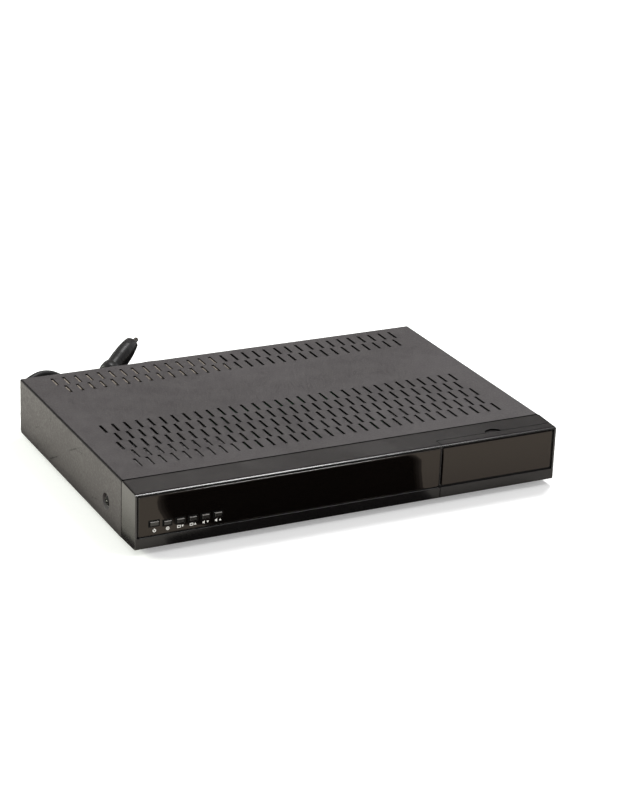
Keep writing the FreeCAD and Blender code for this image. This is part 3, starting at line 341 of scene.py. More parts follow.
def makeCoverScratchesAndShade(s):
    # dark: real scratches, and painted shade along the bend and the seams, on the slot walls and rims and in the notch;
    # half dark: painted shade on the moulding
    group, inside, outside = shaderGroup("cover scratches and painted shade", "Dark", Scratches=0.9, Bend=0.95, Slot_Walls=0.9, Seam=1.0,
                                         Slot_Rims=0.0)
    where = objectPlace(group)
    x, y, z = axes(group)
    facingX, facingY, facingZ = axes(group, "Normal")
    wide, upright = mathNode(group, "ABSOLUTE", x), mathNode(group, "ABSOLUTE", facingZ)

    def times(*masks):
        return product(group, *masks)

    def most(*masks):
        return reduce(lambda a, b: mathNode(group, "MAXIMUM", a, b), masks)

    def ramp(value, low, high, toLow=0.0, toHigh=1.0):
        return spread(group, value, low * mm, high * mm, toLow, toHigh)

    def away(value, middle):
        return mathNode(group, "ABSOLUTE", mathNode(group, "SUBTRACT", value, middle * mm))

    onSide = vectorMath(group, "MULTIPLY", where, (0, 1, 1))
    strokes = most(*[strokeMask(group, onSide, *scratch) for scratch in s["scratches"]])
    broken = spread(group, noiseNode(group, where, 420.0, 2.0, 0.7), 0.36, 0.5)
    strokes = times(strokes, broken, ramp(x, -169.8, -169.5, 1, 0), inside["Scratches"])
    # painted shade: a dark line along the bend, and on the walls of the slots
    bend = times(ramp(wide, s["bendStart"] - 0.2, s["bendStart"]), ramp(z, 46.9, 47.1), inside["Bend"])
    walls = times(spread(group, upright, 0.3, 0.5, 1, 0), ramp(wide, s["sideLimit"] - 1, s["sideLimit"], 1, 0),
                  ramp(z, 46.99, 47.02), inside["Slot Walls"])

    # painted shade along the seams
    onTop = ramp(z, 46.0, 46.5)
    middle, half = s["seam"]
    seam = times(ramp(away(y, middle), half - 0.2, half, 1, 0), onTop)
    middle, half, start = s["doorSeam"]
    doorSeam = times(ramp(away(y, middle), half - 0.2, half, 0.7, 0), ramp(x, start, start + 0.1), onTop)
    seams = times(most(seam, doorSeam), inside["Seam"])
    # painted shade in the notch
    notchX, notchY, reach = s["notch"]
    offset = vectorMath(group, "SUBTRACT", where, (notchX * mm, notchY * mm, 0))
    offset = vectorMath(group, "LENGTH", vectorMath(group, "MULTIPLY", offset, (1, 1, 0)), (0, 0, 0), True)
    notch = times(ramp(offset, reach - 0.1, reach, 1, 0), spread(group, upright, 0.4, 0.6, 1, 0), ramp(z, 45.4, 45.5))

    # painted shade on the moulding: foot, right end of the top, sides, a line behind the bevel and the bevel itself
    foot, end, flank = s["mouldingShade"]
    middle, half, depth, slope = s["frontEdge"]
    mouldingShade = most(times(ramp(z, 13.5, 13.6, foot, 0), spread(group, facingY, -0.9, -0.8, 1, 0)),
                times(ramp(x, 20, 120, 0, end), spread(group, facingZ, 0.9, 0.95)),
                spread(group, mathNode(group, "ABSOLUTE", facingX), 0.9, 0.95, 0, flank),
                times(ramp(away(y, middle), half - 0.1, half, depth, 0), ramp(z, 46.5, 46.7)),
                times(ramp(y, -121.0, -120.9, slope, 0), ramp(z, 45.5, 45.6)))
    mouldingShade = times(mouldingShade, ramp(y, -97.0, -96.8, 1, 0))  # on the moulding alone

    # painted shade on the rims of the slots: how far outside the nearest slot of its row
    pitch, halfWide, halfLong, rim = s["slot"]
    rims = []
    for rows, count in ((s["longRows"], 32), (s["shortRows"], 31)):
        off = mathNode(group, "PINGPONG", x, pitch / 2 * mm)
        if count % 2 == 0:
            off = mathNode(group, "SUBTRACT", pitch / 2 * mm, off)
        along = reduce(lambda a, b: mathNode(group, "MINIMUM", a, b), [away(y, row) for row in rows])
        gap = most(mathNode(group, "SUBTRACT", off, halfWide * mm), mathNode(group, "SUBTRACT", along, halfLong * mm))
        end = count * pitch / 2
        rims.append(times(ramp(gap, rim * 0.6, rim * 1.2, 1, 0), ramp(wide, end, end + 0.1, 1, 0)))
    rims = times(most(*rims), ramp(z, 47.0, 47.1), inside["Slot Rims"])
    group.links.new(most(strokes, bend, walls, seams, notch, mouldingShade, rims), outside["Dark"])
    return group


def makeStripes():
    # parallel bands: strands of a ribbon, tracks on a board
    group, inside, outside = shaderGroup("bands", "Mask", Per_Metre=800.0, Share=0.5, Along_Y=0.0, Break_Up=0.0)
    x, y = axes(group)[:2]
    swap = product(group, mathNode(group, "SUBTRACT", y, x), inside["Along Y"])
    across = product(group, mathNode(group, "ADD", x, swap), inside["Per Metre"])
    band = mathNode(group, "LESS_THAN", mathNode(group, "FRACT", across), inside["Share"])
    cells = addNode(group, "ShaderNodeTexVoronoi", distance="CHEBYCHEV", Scale=95.0, Vector=objectPlace(group))
    value = addNode(group, "ShaderNodeSeparateColor", Color=cells.outputs["Color"])
    chosen = product(group, spread(group, value.outputs[0], 0.5, 0.52), inside["Break Up"])
    group.links.new(product(group, band, mathNode(group, "SUBTRACT", 1.0, chosen)), outside["Mask"])
    return group


def makeTops():
    # faces that look up: bare tops of sleeved cans, and a painted highlight on the tops of the keys
    group, inside, outside = shaderGroup("bare tops and painted highlight", "Mask", Sharp=0.9)
    group.links.new(spread(group, axes(group, "Normal")["Z"], inside["Sharp"], 0.99), outside["Mask"])
    return group


def makeSpangle():
    # crystals of zinc plating
    group, inside, outside = shaderGroup("zinc spangle", "Mask", Scale=160.0)
    cells = addNode(group, "ShaderNodeTexVoronoi", Randomness=1.0, Vector=objectPlace(group), Scale=inside["Scale"])
    value = addNode(group, "ShaderNodeSeparateColor", Color=cells.outputs["Color"])
    group.links.new(value.outputs[1], outside["Mask"])
    return group


stripes, tops, spangle = makeStripes(), makeTops(), makeSpangle()
grain, dust, rub, scratchesAndShadeOnCover = makeGrain(), makeDust(), makeRub(), makeCoverScratchesAndShade(coverScratchesAndShade)


def addGroup(tree, group, **values):
    node = addNode(tree, "ShaderNodeGroup", node_tree=group)
    for label, value in values.items():
        node.inputs[label.replace("_", " ")].default_value = value
    return node.outputs


def mixColours(tree, factor, a, b):
    node = addNode(tree, "ShaderNodeMix", data_type="RGBA")
    for i, value in ((0, factor), (6, a), (7, b)):
        feed(tree, node.inputs[i], value)
    return node.outputs[2]


def shade(colour, level):
    return tuple(c * level for c in colour) + (1.0,)


def makeFinish(name, colour, roughness, metallic=0.0, grainScale=1500.0, grainDepth=0.0, ripple=0.0, speckle=0.0,
               vary=0.12, unevenness=0.06, dusty=0.0, rubbed=0.0, specular=0.5, coat=0.0, coatRoughness=0.05, edge=0.0,
               worn=False, slotRims=0.0, gloss=(1, 1, 1), pattern=None, second=(0, 0, 0), secondMetal=None,
               **patternInputs):
    # one family of finishes: tone and roughness wander, grain and soft edges come from the normal
    material = bpy.data.materials.new(name)
    material.use_nodes = True
    tree = material.node_tree
    sockets = tree.nodes["Principled BSDF"].inputs
    for label, value in (("Metallic", metallic), ("Specular IOR Level", specular), ("Specular Tint", shade(gloss, 1)),
                         ("Coat Weight", coat), ("Coat Roughness", coatRoughness)):
        sockets[label].default_value = value
    texture = addGroup(tree, grain, Scale=grainScale, Ripple=ripple, Speckle=speckle)
    tint = mixColours(tree, texture["Tone"], shade(colour, 1 - vary), shade(colour, 1 + vary))
    rough = spread(tree, texture["Tone"], 0.0, 1.0, roughness - unevenness, roughness + unevenness)
    for group, amount, over, duller in ((rub, rubbed, shade(colour, 0.4), 0.25),
                                        (dust, dusty, (0.35, 0.34, 0.32, 1), 0.4)):
        if amount:
            mask = addGroup(tree, group, Amount=amount)["Mask"]
            tint = mixColours(tree, mask, tint, over)
            rough = mathNode(tree, "ADD", rough, product(tree, mask, duller), True)
    # scratches, and painted shade from the cover's group
    if worn:
        dark = addGroup(tree, scratchesAndShadeOnCover, Slot_Rims=slotRims)["Dark"]
        tint = mixColours(tree, dark, tint, shade(colour, 0.1))
        feed(tree, sockets["Metallic"], spread(tree, dark, 0.0, 1.0, 0.0, 0.96))  # painted shade: the dark colour turns metallic there, so the reflection is taken away too
    if pattern:
        figure = addGroup(tree, pattern, **patternInputs)["Mask"]
        tint = mixColours(tree, figure, tint, shade(second, 1))
        if secondMetal is not None:
            feed(tree, sockets["Metallic"], spread(tree, figure, 0.0, 1.0, metallic, secondMetal))
    feed(tree, sockets["Base Color"], tint)
    feed(tree, sockets["Roughness"], rough)
    normal = None
    if edge:
        rounded = addNode(tree, "ShaderNodeBevel", samples=6, Radius=edge)
        normal = rounded.outputs["Normal"]
    if grainDepth:
        bump = addNode(tree, "ShaderNodeBump", Strength=1.0, Distance=grainDepth, Height=texture["Height"],
                       Normal=normal)
        normal = bump.outputs["Normal"]
    if normal:
        feed(tree, sockets["Normal"], normal)
    return material


finishes = {
    # the marks add scratches and painted shade; slotRims sets the painted shade round the slots
    "coverPaint": dict(colour=(0.024, 0.0195, 0.021), roughness=0.46, grainScale=2600, grainDepth=0.00004,
                       ripple=1.5, speckle=4.5, vary=0.22, unevenness=0.1, dusty=0.04, rubbed=0.3, edge=0.0004,
                       worn=True, slotRims=0.9),
    # the marks add scratches and painted shade on the moulding
    "frontMoulding": dict(colour=(0.0185, 0.0169, 0.0174), roughness=0.2, grainScale=3000, grainDepth=0.00001,
                          dusty=0.03, rubbed=0.06, specular=0.56, edge=0.0003, worn=True),
    "polishedPanel": dict(colour=(0.0018, 0.0013, 0.0011), roughness=0.05, unevenness=0.015, specular=0.4,
                          rubbed=0.15, dusty=0.015, edge=0.0011, gloss=(1.0, 0.86, 0.77)),
    # the paler tops of the keys are a painted highlight
    "keyPlastic": dict(colour=(0.017, 0.0155, 0.0145), roughness=0.26, specular=0.45, edge=0.0004, pattern=tops,
                       second=(0.5, 0.48, 0.46), Sharp=0.25),
    "zincSheet": dict(colour=(0.66, 0.66, 0.64), roughness=0.34, metallic=1.0, grainScale=260, grainDepth=0.00001,
                      vary=0.15, unevenness=0.12, edge=0.0003, pattern=spangle, second=(0.45, 0.46, 0.46), Scale=150.0),
    "rearPaint": dict(colour=(0.02, 0.02, 0.021), roughness=0.42, grainScale=2600, grainDepth=0.00003, edge=0.0003),
    "blackSteel": dict(colour=(0.004, 0.004, 0.004), roughness=0.25, specular=0.1, edge=0.00015),
    # paler than the panel's own plastic: a painted highlight along the bevel
    "bevelPlasticWithHighlight": dict(colour=(0.05, 0.046, 0.043), roughness=0.12, unevenness=0.02, specular=0.85),
    # near black for painted shade: rims in the key windows and liners in the gaps
    "paintedShadeBlack": dict(colour=(0.003, 0.003, 0.003), roughness=0.5, specular=0.1),
    "brightSteel": dict(colour=(0.66, 0.65, 0.62), roughness=0.25, metallic=1.0, edge=0.0002),
    "tinPlate": dict(colour=(0.68, 0.67, 0.64), roughness=0.27, metallic=1.0, grainScale=500,
                     grainDepth=0.000008, vary=0.15, unevenness=0.1, edge=0.0003),
    "nickelPlate": dict(colour=(0.72, 0.69, 0.62), roughness=0.17, metallic=1.0, vary=0.08, edge=0.0002),
    # darker than bare brass: painted shade on the pins
    "pinBrass": dict(colour=(0.1, 0.085, 0.07), roughness=0.3, metallic=1.0, vary=0.2),
    "tanCard": dict(colour=(0.52, 0.45, 0.38), roughness=0.8, grainScale=500, grainDepth=0.00003, specular=0.2),
    "greyFoam": dict(colour=(0.3, 0.285, 0.285), roughness=0.95, grainScale=420, grainDepth=0.0002, specular=0.1,
                     vary=0.25),
    "goldContact": dict(colour=(0.83, 0.6, 0.22), roughness=0.22, metallic=1.0),
    "aluminium": dict(colour=(0.74, 0.74, 0.75), roughness=0.38, metallic=1.0, grainScale=700,
                      grainDepth=0.00001, edge=0.0003),
    "footRubber": dict(colour=(0.018, 0.018, 0.018), roughness=0.75, grainScale=900, grainDepth=0.00003, edge=0.0005),
    "cordSheath": dict(colour=(0.007, 0.0068, 0.0068), roughness=0.46, specular=0.2, grainScale=1400,
                       grainDepth=0.00002),
    "plugMoulding": dict(colour=(0.007, 0.0065, 0.0065), roughness=0.36, specular=0.22, grainScale=1800,
                         grainDepth=0.00003, rubbed=0.3, edge=0.0006),
    "socketBlack": dict(colour=(0.017, 0.017, 0.018), roughness=0.38, edge=0.0003),
    "greenBoard": dict(colour=(0.012, 0.1, 0.035), roughness=0.3, coat=0.4, vary=0.2, pattern=stripes,
                       second=(0.03, 0.19, 0.06), Per_Metre=620.0, Share=0.35, Break_Up=1.0),
    "brownBoard": dict(colour=(0.36, 0.22, 0.09), roughness=0.55, grainScale=400, grainDepth=0.00002, vary=0.2),
    "chipBlack": dict(colour=(0.02, 0.02, 0.022), roughness=0.5, edge=0.0002),
    "sleeveBlack": dict(colour=(0.025, 0.028, 0.05), roughness=0.3, coat=0.3, pattern=tops,
                        second=(0.7, 0.7, 0.7), secondMetal=1.0),
    "headerWhite": dict(colour=(0.72, 0.7, 0.62), roughness=0.45, edge=0.0002),
    "ribbonWhite": dict(colour=(0.66, 0.66, 0.64), roughness=0.4, pattern=stripes, second=(0.36, 0.36, 0.37),
                        Per_Metre=790.0, Share=0.3),
    "ferriteTape": dict(colour=(0.06, 0.055, 0.055), roughness=0.6, grainScale=500, grainDepth=0.00004, edge=0.0004),
    "displayGlass": dict(colour=(0.01, 0.014, 0.014), roughness=0.05, coat=0.5),
    "legendInk": dict(colour=(0.95, 0.95, 0.94), roughness=0.45, vary=0.04),
    "jackRed": dict(colour=(0.55, 0.03, 0.025), roughness=0.35),
    "jackWhite": dict(colour=(0.75, 0.74, 0.7), roughness=0.35),
    "jackYellow": dict(colour=(0.75, 0.52, 0.03), roughness=0.35),
    "jackBlack": dict(colour=(0.02, 0.02, 0.02), roughness=0.35),
}
finish = {name: makeFinish(name, **values) for name, values in finishes.items()}
print("finishes made:", len(finish))

dressing = {
    "coverPaint": ["top_cover"],
    "frontMoulding": ["front_bezel", "door_frame"],
    "polishedPanel": ["display_panel", "door_insert"],
    "keyPlastic": ["power_key", "ok_key", "channel_down_key", "channel_up_key", "volume_down_key",
                   "volume_up_key"],
    "zincSheet": ["chassis_tray", "disk_bracket"],
    "rearPaint": ["rear_panel"],
    "blackSteel": ["case_screws"],
    "brightSteel": ["board_screws", "door_hinge_pins"],
    "tinPlate": ["card_slot_cage", "front_usb_socket", "satellite_tuners", "aerial_tuner", "hdmi_socket",
                 "lan_usb_socket", "supply_shield"],
    "nickelPlate": ["satellite_connectors", "aerial_connectors", "phono_shells"],
    "pinBrass": ["plug_pins"],
    "aluminium": ["processor_heatsink", "supply_heatsinks", "hard_disk"],
    "footRubber": ["feet"],
    "cordSheath": ["cord_bush", "cord_tie", "cord_lead", "cord_tail", "cord_coil"],
    "plugMoulding": ["mains_plug"],
    "socketBlack": ["smart_card_reader", "scart_socket", "phono_housing", "optical_output", "mains_switch_body",
                    "mains_rocker", "key_switches", "infrared_receiver"],
    "greenBoard": ["main_board", "front_board"],
    "brownBoard": ["supply_board"],
    "chipBlack": ["board_chips"],
    "sleeveBlack": ["board_capacitors", "supply_capacitors"],
    "headerWhite": ["board_headers"],
    "ribbonWhite": ["front_ribbon", "disk_cable", "power_harness"],
    "ferriteTape": ["supply_transformer", "supply_filter"],
    "displayGlass": ["display_module"],
    "jackRed": ["phono_cores"],
}


for name, nodes in dressing.items():
    for node in nodes:
        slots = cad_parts[node].data.materials
        slots.clear()
        slots.append(finish[name])


# node trees for what repeats
def nodeTree(name, inputs):
    return newTree(name, "GeometryNodeTree", [("Geometry", "Geometry", None)] + inputs, [("Geometry", "Geometry")])


def vector(tree, x=0.0, y=0.0, z=0.0):
    return outputOf(tree, "ShaderNodeCombineXYZ", X=x, Y=y, Z=z)


def raised(tree, geometry, z):
    return outputOf(tree, "GeometryNodeTransform", Geometry=geometry, Translation=vector(tree, z=z))


def joinedParts(tree, *parts):
    node = addNode(tree, "GeometryNodeJoinGeometry")
    for part in parts:
        tree.links.new(part, node.inputs[0])
    return node.outputs[0]


def turnedToFacing(tree):
    facing = outputOf(tree, "GeometryNodeInputNamedAttribute", data_type="FLOAT_VECTOR", Name="facing")
    return outputOf(tree, "FunctionNodeAlignRotationToVector", axis="Z", Vector=facing)


def copiesEnd(tree, outside, material, points, shape, **more):
    # copies of a shape on points, made real and given their material
    copies = outputOf(tree, "GeometryNodeInstanceOnPoints", Points=points, Instance=shape, **more)
    real = outputOf(tree, "GeometryNodeRealizeInstances", Geometry=copies)
    tree.links.new(outputOf(tree, "GeometryNodeSetMaterial", Geometry=real, Material=material), outside[0])


def pointMesh(points, facings=None):
    mesh = bpy.data.meshes.new("points")
    mesh.from_pydata([tuple(p) for p in points], [], [])
    if facings:
        data = mesh.attributes.new("facing", "FLOAT_VECTOR", "POINT").data
        for item, facing in zip(data, facings):
            item.vector = facing
    return mesh


def grown(tree, base, **values):
    # runs a tree on a base mesh and gives back a plain mesh
    piece = addObject(tree.name, base)
    modifier = piece.modifiers.new("grow", "NODES")
    modifier.node_group = tree
    for item in tree.interface.items_tree:
        label = item.name.replace(" ", "_")
        if item.in_out == "INPUT" and label in values:
            modifier[item.identifier] = values[label]
    bpy.context.view_layer.update()
    return plainMesh(piece)


def joinedMesh(meshes, name):
    bm = bmesh.new()
    for mesh in meshes:
        bm.from_mesh(mesh)
    whole = bpy.data.meshes.new(name)
    bm.to_mesh(whole)
    bm.free()
    return softEdges(whole)


def makeScrewTree():
    tree, inside, outside = nodeTree("crossScrew", [
        ("Head Radius", "Float", 3.6 * mm), ("Top Radius", "Float", 2.6 * mm), ("Head Height", "Float", 1.6 * mm),
        ("Recess Width", "Float", 0.9 * mm), ("Recess Length", "Float", 3.4 * mm), ("Recess Depth", "Float", 1.1 * mm),
        ("Shaft Radius", "Float", 1.3 * mm), ("Shaft Length", "Float", 3.0 * mm), ("Seed", "Int", 5),
        ("Material", "Material", None)])
    high, long, wide, deep = (inside[k] for k in ("Head Height", "Recess Length", "Recess Width", "Recess Depth"))
    rim = outputOf(tree, "GeometryNodeMeshCylinder", Vertices=40, Radius=inside["Head Radius"],
                   Depth=product(tree, high, 0.3))
    rim = raised(tree, rim, product(tree, high, 0.15))
    dome = outputOf(tree, "GeometryNodeMeshCone", Vertices=40, Radius_Bottom=inside["Head Radius"],
                    Radius_Top=inside["Top Radius"], Depth=product(tree, high, 0.7))
    dome = raised(tree, dome, product(tree, high, 0.3))
    head = addNode(tree, "GeometryNodeMergeByDistance", Geometry=joinedParts(tree, rim, dome), Distance=1e-6)
    cut = addNode(tree, "GeometryNodeMeshBoolean", operation="DIFFERENCE", solver="EXACT")
    tree.links.new(head.outputs[0], cut.inputs["Mesh 1"])
    middle = mathNode(tree, "SUBTRACT", high, product(tree, deep, 0.5))
    deep = mathNode(tree, "ADD", deep, 0.02 * mm)
    for size in ((long, wide, deep), (wide, long, deep)):
        bar = outputOf(tree, "GeometryNodeMeshCube", Size=vector(tree, *size))
        tree.links.new(raised(tree, bar, mathNode(tree, "ADD", middle, 0.01 * mm)), cut.inputs["Mesh 2"])
    shaft = outputOf(tree, "GeometryNodeMeshCylinder", Vertices=20, Radius=inside["Shaft Radius"],
                     Depth=inside["Shaft Length"])
    shaft = raised(tree, shaft, product(tree, inside["Shaft Length"], -0.5))
    chance = addNode(tree, "FunctionNodeRandomValue", data_type="FLOAT", Seed=inside["Seed"])
    turn = addNode(tree, "FunctionNodeAxisAngleToRotation", Axis=(0, 0, 1),
                   Angle=product(tree, chance.outputs[1], 1.5))
    both = addNode(tree, "FunctionNodeRotateRotation", rotation_space="LOCAL", Rotation=turnedToFacing(tree))
    tree.links.new(turn.outputs[0], both.inputs[1])
    copiesEnd(tree, outside, inside["Material"], inside["Geometry"], joinedParts(tree, cut.outputs[0], shaft),
              Rotation=both.outputs[0])
    return tree


def makeRowTree():
    # a row of small blades, such as the contacts of a socket
    tree, inside, outside = nodeTree("bladeRow", [
        ("Count", "Int", 8), ("Start", "Vector", (0, 0, 0)), ("Step", "Vector", (0.001, 0, 0)),
        ("Size", "Vector", (0.0005, 0.006, 0.0002)), ("Material", "Material", None)])
    line = outputOf(tree, "GeometryNodeMeshLine", Count=inside["Count"], Start_Location=inside["Start"],
                    Offset=inside["Step"])
    blade = outputOf(tree, "GeometryNodeMeshCube", Size=inside["Size"])
    copiesEnd(tree, outside, inside["Material"], line, blade)
    return tree


def makeThreadTree():
    # a raised thread that climbs along each point's facing
    tree, inside, outside = nodeTree("screwThread", [
        ("Radius", "Float", 4.6 * mm), ("Pitch", "Float", 0.79 * mm), ("Turns", "Float", 9.0),
        ("Ridge", "Float", 0.3 * mm), ("Material", "Material", None)])
    high = product(tree, inside["Pitch"], inside["Turns"])
    spiral = outputOf(tree, "GeometryNodeCurveSpiral", Resolution=32, Rotations=inside["Turns"],
                      Start_Radius=inside["Radius"], End_Radius=inside["Radius"], Height=high)
    ring = outputOf(tree, "GeometryNodeCurvePrimitiveCircle", Resolution=6, Radius=inside["Ridge"])
    ridge = outputOf(tree, "GeometryNodeCurveToMesh", Curve=spiral, Profile_Curve=ring, Fill_Caps=True)
    copiesEnd(tree, outside, inside["Material"], inside["Geometry"], ridge, Rotation=turnedToFacing(tree))
    return tree


def makeRingTree():
    # rings along local Z that shrink from one radius to the other, as on a strain relief
    tree, inside, outside = nodeTree("reliefRings", [
        ("Count", "Int", 7), ("Pitch", "Float", 2.7 * mm), ("First Radius", "Float", 5.4 * mm),
        ("Last Radius", "Float", 3.9 * mm), ("Thickness", "Float", 1.7 * mm), ("Material", "Material", None)])
    line = outputOf(tree, "GeometryNodeMeshLine", Count=inside["Count"], Offset=vector(tree, z=inside["Pitch"]))
    ring = outputOf(tree, "GeometryNodeMeshCylinder", Vertices=36, Radius=1.0, Depth=inside["Thickness"])
    last = mathNode(tree, "SUBTRACT", inside["Count"], 1.0)
    along = mathNode(tree, "DIVIDE", outputOf(tree, "GeometryNodeInputIndex"), last)
    change = product(tree, along, mathNode(tree, "SUBTRACT", inside["Last Radius"], inside["First Radius"]))
    radius = mathNode(tree, "ADD", inside["First Radius"], change)
    copiesEnd(tree, outside, inside["Material"], line, ring, Scale=vector(tree, radius, radius, 1.0))
    return tree


screwTree, rowTree, threadTree, ringTree = makeScrewTree(), makeRowTree(), makeThreadTree(), makeRingTree()
print("node trees made")

# screws: three at the back, one in each side dimple, ten on the boards
screwSet = {
    "rearX": (-105.0, 0.0, 105.0),
    "rearY": 112.15,
    "rearZ": 43.0,
    "dimple": (168.0, -67.15, 20.0),
    "boardZ": 12.0,
    "caseHead": lengths(dict(Recess_Width=1.25, Recess_Length=4.3, Recess_Depth=1.35)),
    "boardHead": lengths(dict(Head_Radius=2.7, Top_Radius=2.0, Recess_Length=2.6, Recess_Width=0.7, Shaft_Length=1.0)),
    "wear": [(0.0, 0.2), (0.8, 0.2), (0.6, 1.15), (0.3, 1.45), (0.0, 1.5)],  # bare metal in the recess
    "boardPlaces": [(-14, -84), (70, -84), (158, -62), (-14, 40), (96, 40), (158, 40), (-156, 30), (-156, 98),
                    (-42, 30), (-42, 98)],
}


def makeScrews(s):
    x, y, z = s["dimple"]
    points = [(x, s["rearY"], s["rearZ"]) for x in s["rearX"]] + [(x, y, z), (-x, y, z)]
    facings = [(0, 1, 0)] * 3 + [(1, 0, 0), (-1, 0, 0)]
    base = pointMesh([metres(p) for p in points], facings)
    mesh = grown(screwTree, base, Material=finish["blackSteel"], Seed=3, **s["caseHead"])
    addPiece("caseScrews", softEdges(mesh, 30), "blackSteel", replaced=["case_screws"])
    bm = bmesh.new()
    for point, facing in zip(points, facings):
        addSpun(bm, s["wear"], 12, point, Vector(facing).to_track_quat("Z", "Y").to_matrix().to_4x4())
    addPiece("screwWear", finished(bm, "screwWear", 10), "brightSteel")
    points = [metres((x, y, s["boardZ"])) for x, y in s["boardPlaces"]]
    mesh = grown(screwTree, pointMesh(points, [(0, 0, 1)] * len(points)), Material=finish["brightSteel"], Seed=8,
                 **s["boardHead"])
    addPiece("boardScrews", softEdges(mesh, 30), "brightSteel", replaced=["board_screws"])


makeScrews(screwSet)
print("screws made")

# sockets and connectors at the back
jackSet = {
    "satX": (109.0, 131.0),
    "rows": (18.5, 32.5),
    "panelY": 111.15,
    "endY": 122.15,
    "rootRadius": 4.45,
    "bore": 1.4,
    # sections as (radius, distance from the end): mouth of the shell, insulating disc
    "mouth": [(4.45, -0.4), (4.1, 0), (3.6, 0), (3.4, -0.3), (3.4, -1.2), (1.4, -1.2)],
    "disc": [(0.5, -4), (3.4, -4), (3.4, -0.75), (1.0, -0.75), (0.5, -1.3), (0.5, -4)],
    "nut": (6.3, 0.35, 1.9, 11),  # radius, foot, top, degrees turned per millimetre of height
    "washer": [(0, 0), (6.9, 0), (6.9, 0.35), (0, 0.35)],
    "threadStart": 2.2,
    "thread": lengths(dict(Pitch=0.79, Radius=4.5, Ridge=0.26)),
    "threadTurns": 10.0,
    "phonoCore": [(1.6, -1), (3.2, -1), (3.2, 8.4), (2.9, 8.8), (2.0, 8.8), (1.6, 8.4), (1.6, -1)],
    "phono": [(25.0, 18.5, "jackBlack"), (37.0, 18.5, "jackYellow"), (25.0, 32.5, "jackWhite"),
              (37.0, 32.5, "jackRed")],
}


def makeSatelliteJacks(s):
    long = s["endY"] - s["panelY"]
    mouth, disc = ([(r, long + z) for r, z in s[k]] for k in ("mouth", "disc"))
    profile = [(s["bore"], 0), (s["rootRadius"], 0), *mouth, (s["bore"], 0)]
    radius, foot, top, twist = s["nut"]
    shell, core = bmesh.new(), bmesh.new()
    places = [(x, s["panelY"], z) for x in s["satX"] for z in s["rows"]]
    for spot in places:
        addSpun(shell, profile, 40, spot)
        nut = [(radius * math.cos(a), radius * math.sin(a))
               for a in (math.radians(60 * i + twist * spot[2]) for i in range(6))]
        addPrism(shell, nut, foot, top, spot, alongY)
        addSpun(shell, s["washer"], 40, spot)
        addSpun(core, disc, 32, spot)
    starts = [metres((x, y + s["threadStart"], z)) for x, y, z in places]
    thread = grown(threadTree, pointMesh(starts, [(0, 1, 0)] * len(starts)), Turns=s["threadTurns"],
                   Material=finish["nickelPlate"], **s["thread"])
    whole = joinedMesh([finished(shell, "jackShells"), thread], "satelliteJacks")
    addPiece("satelliteJacks", whole, "nickelPlate", replaced=["satellite_connectors"])
    addPiece("jackInsulators", core, "headerWhite")


def makePhonoCores(s):
    bm = bmesh.new()
    for i, (x, z, look) in enumerate(s["phono"]):
        before = len(bm.faces)
        addSpun(bm, s["phonoCore"], 36, (x, s["panelY"], z))
        bm.faces.ensure_lookup_table()
        for face in bm.faces[before:]:
            face.material_index = i
    mesh = finished(bm, "phonoCores")
    kept = [face.material_index for face in mesh.polygons]
    looks = [look for x, z, look in s["phono"]]
    addPiece("phonoCores", mesh, looks[0], replaced=["phono_cores"])
    for look in looks[1:]:
        mesh.materials.append(finish[look])
    mesh.polygons.foreach_set("material_index", kept)
    mesh.update()


contactSet = {
    # rows of contacts: count, start, step and size in millimetres
    "networkJack": (8, (3.63, 103.2, 22.3), (1.02, 0, 0), (0.45, 9.0, 0.25)),
    "rearUsb": (4, (3.7, 104.5, 32.28), (2.33, 0, 0), (1.1, 8.0, 0.2)),
    "hdmiUpper": (10, (-14.8, 106.0, 15.66), (1.0, 0, 0), (0.4, 7.0, 0.14)),
    "hdmiLower": (9, (-14.3, 106.0, 14.14), (1.0, 0, 0), (0.4, 7.0, 0.14)),
    "frontUsb": (4, (150.0, -101.0, 15.72), (2.33, 0, 0), (1.1, 8.0, 0.16)),
    "scartLower": (9, (54.8, 105.0, 22.35), (3.7, 0, 0), (0.9, 9.0, 0.5)),
    "scartUpper": (9, (54.8, 105.0, 25.65), (3.7, 0, 0), (0.9, 9.0, 0.5)),
}


def makeContacts(s):
    meshes = [grown(rowTree, pointMesh([(0, 0, 0)]), Count=count, Start=metres(start), Step=metres(step),
                    Size=metres(size), Material=finish["goldContact"]) for count, start, step, size in s.values()]
    addPiece("socketContacts", joinedMesh(meshes, "socketContacts"), "goldContact")


liningSet = {
    # black mouldings inside the sockets: left, right, low and high edge, then the depth of the back plate
    "network": ((1.3, 13.1, 16.2, 23.2), 97.2),
    "latch": ((4.2, 10.2, 13.6, 16.3), 97.2),
    "usb": ((0.8, 13.6, 29.6, 35.2), 99.2),
    # the same edges, then back and front, of the tongues of the USB and HDMI sockets
    "tongues": [((1.42, 12.98, 32.34, 34.06), 99.0, 109.85), ((-15.95, -4.65, 14.14, 15.66), 100.6, 109.75)],
    "wall": 0.16,
    "front": 110.9,
    "plate": 0.5,
}


def makeLinings(s):
    bm = bmesh.new()
    wall = s["wall"]
    for name in ("network", "latch", "usb"):
        (x0, x1, z0, z1), back = s[name]
        sides = [(x0, x0 + wall, z0, z1), (x1 - wall, x1, z0, z1), (x0, x1, z1 - wall, z1), (x0, x1, z0, z0 + wall)]
        if name == "network":  # open to the latch below
            left, right = s["latch"][0][:2]
            sides[-1:] = [(x0, left, z0, z0 + wall), (right, x1, z0, z0 + wall)]
        elif name == "latch":
            del sides[2]
        for a, b, c, d in sides:
            addBox(bm, (a, back, c), (b, s["front"], d))
        addBox(bm, (x0, back, z0), (x1, back + s["plate"], z1))
    for (x0, x1, z0, z1), back, front in s["tongues"]:
        addBox(bm, (x0, back, z0), (x1, front, z1))
    addPiece("socketLinings", bm, "socketBlack")


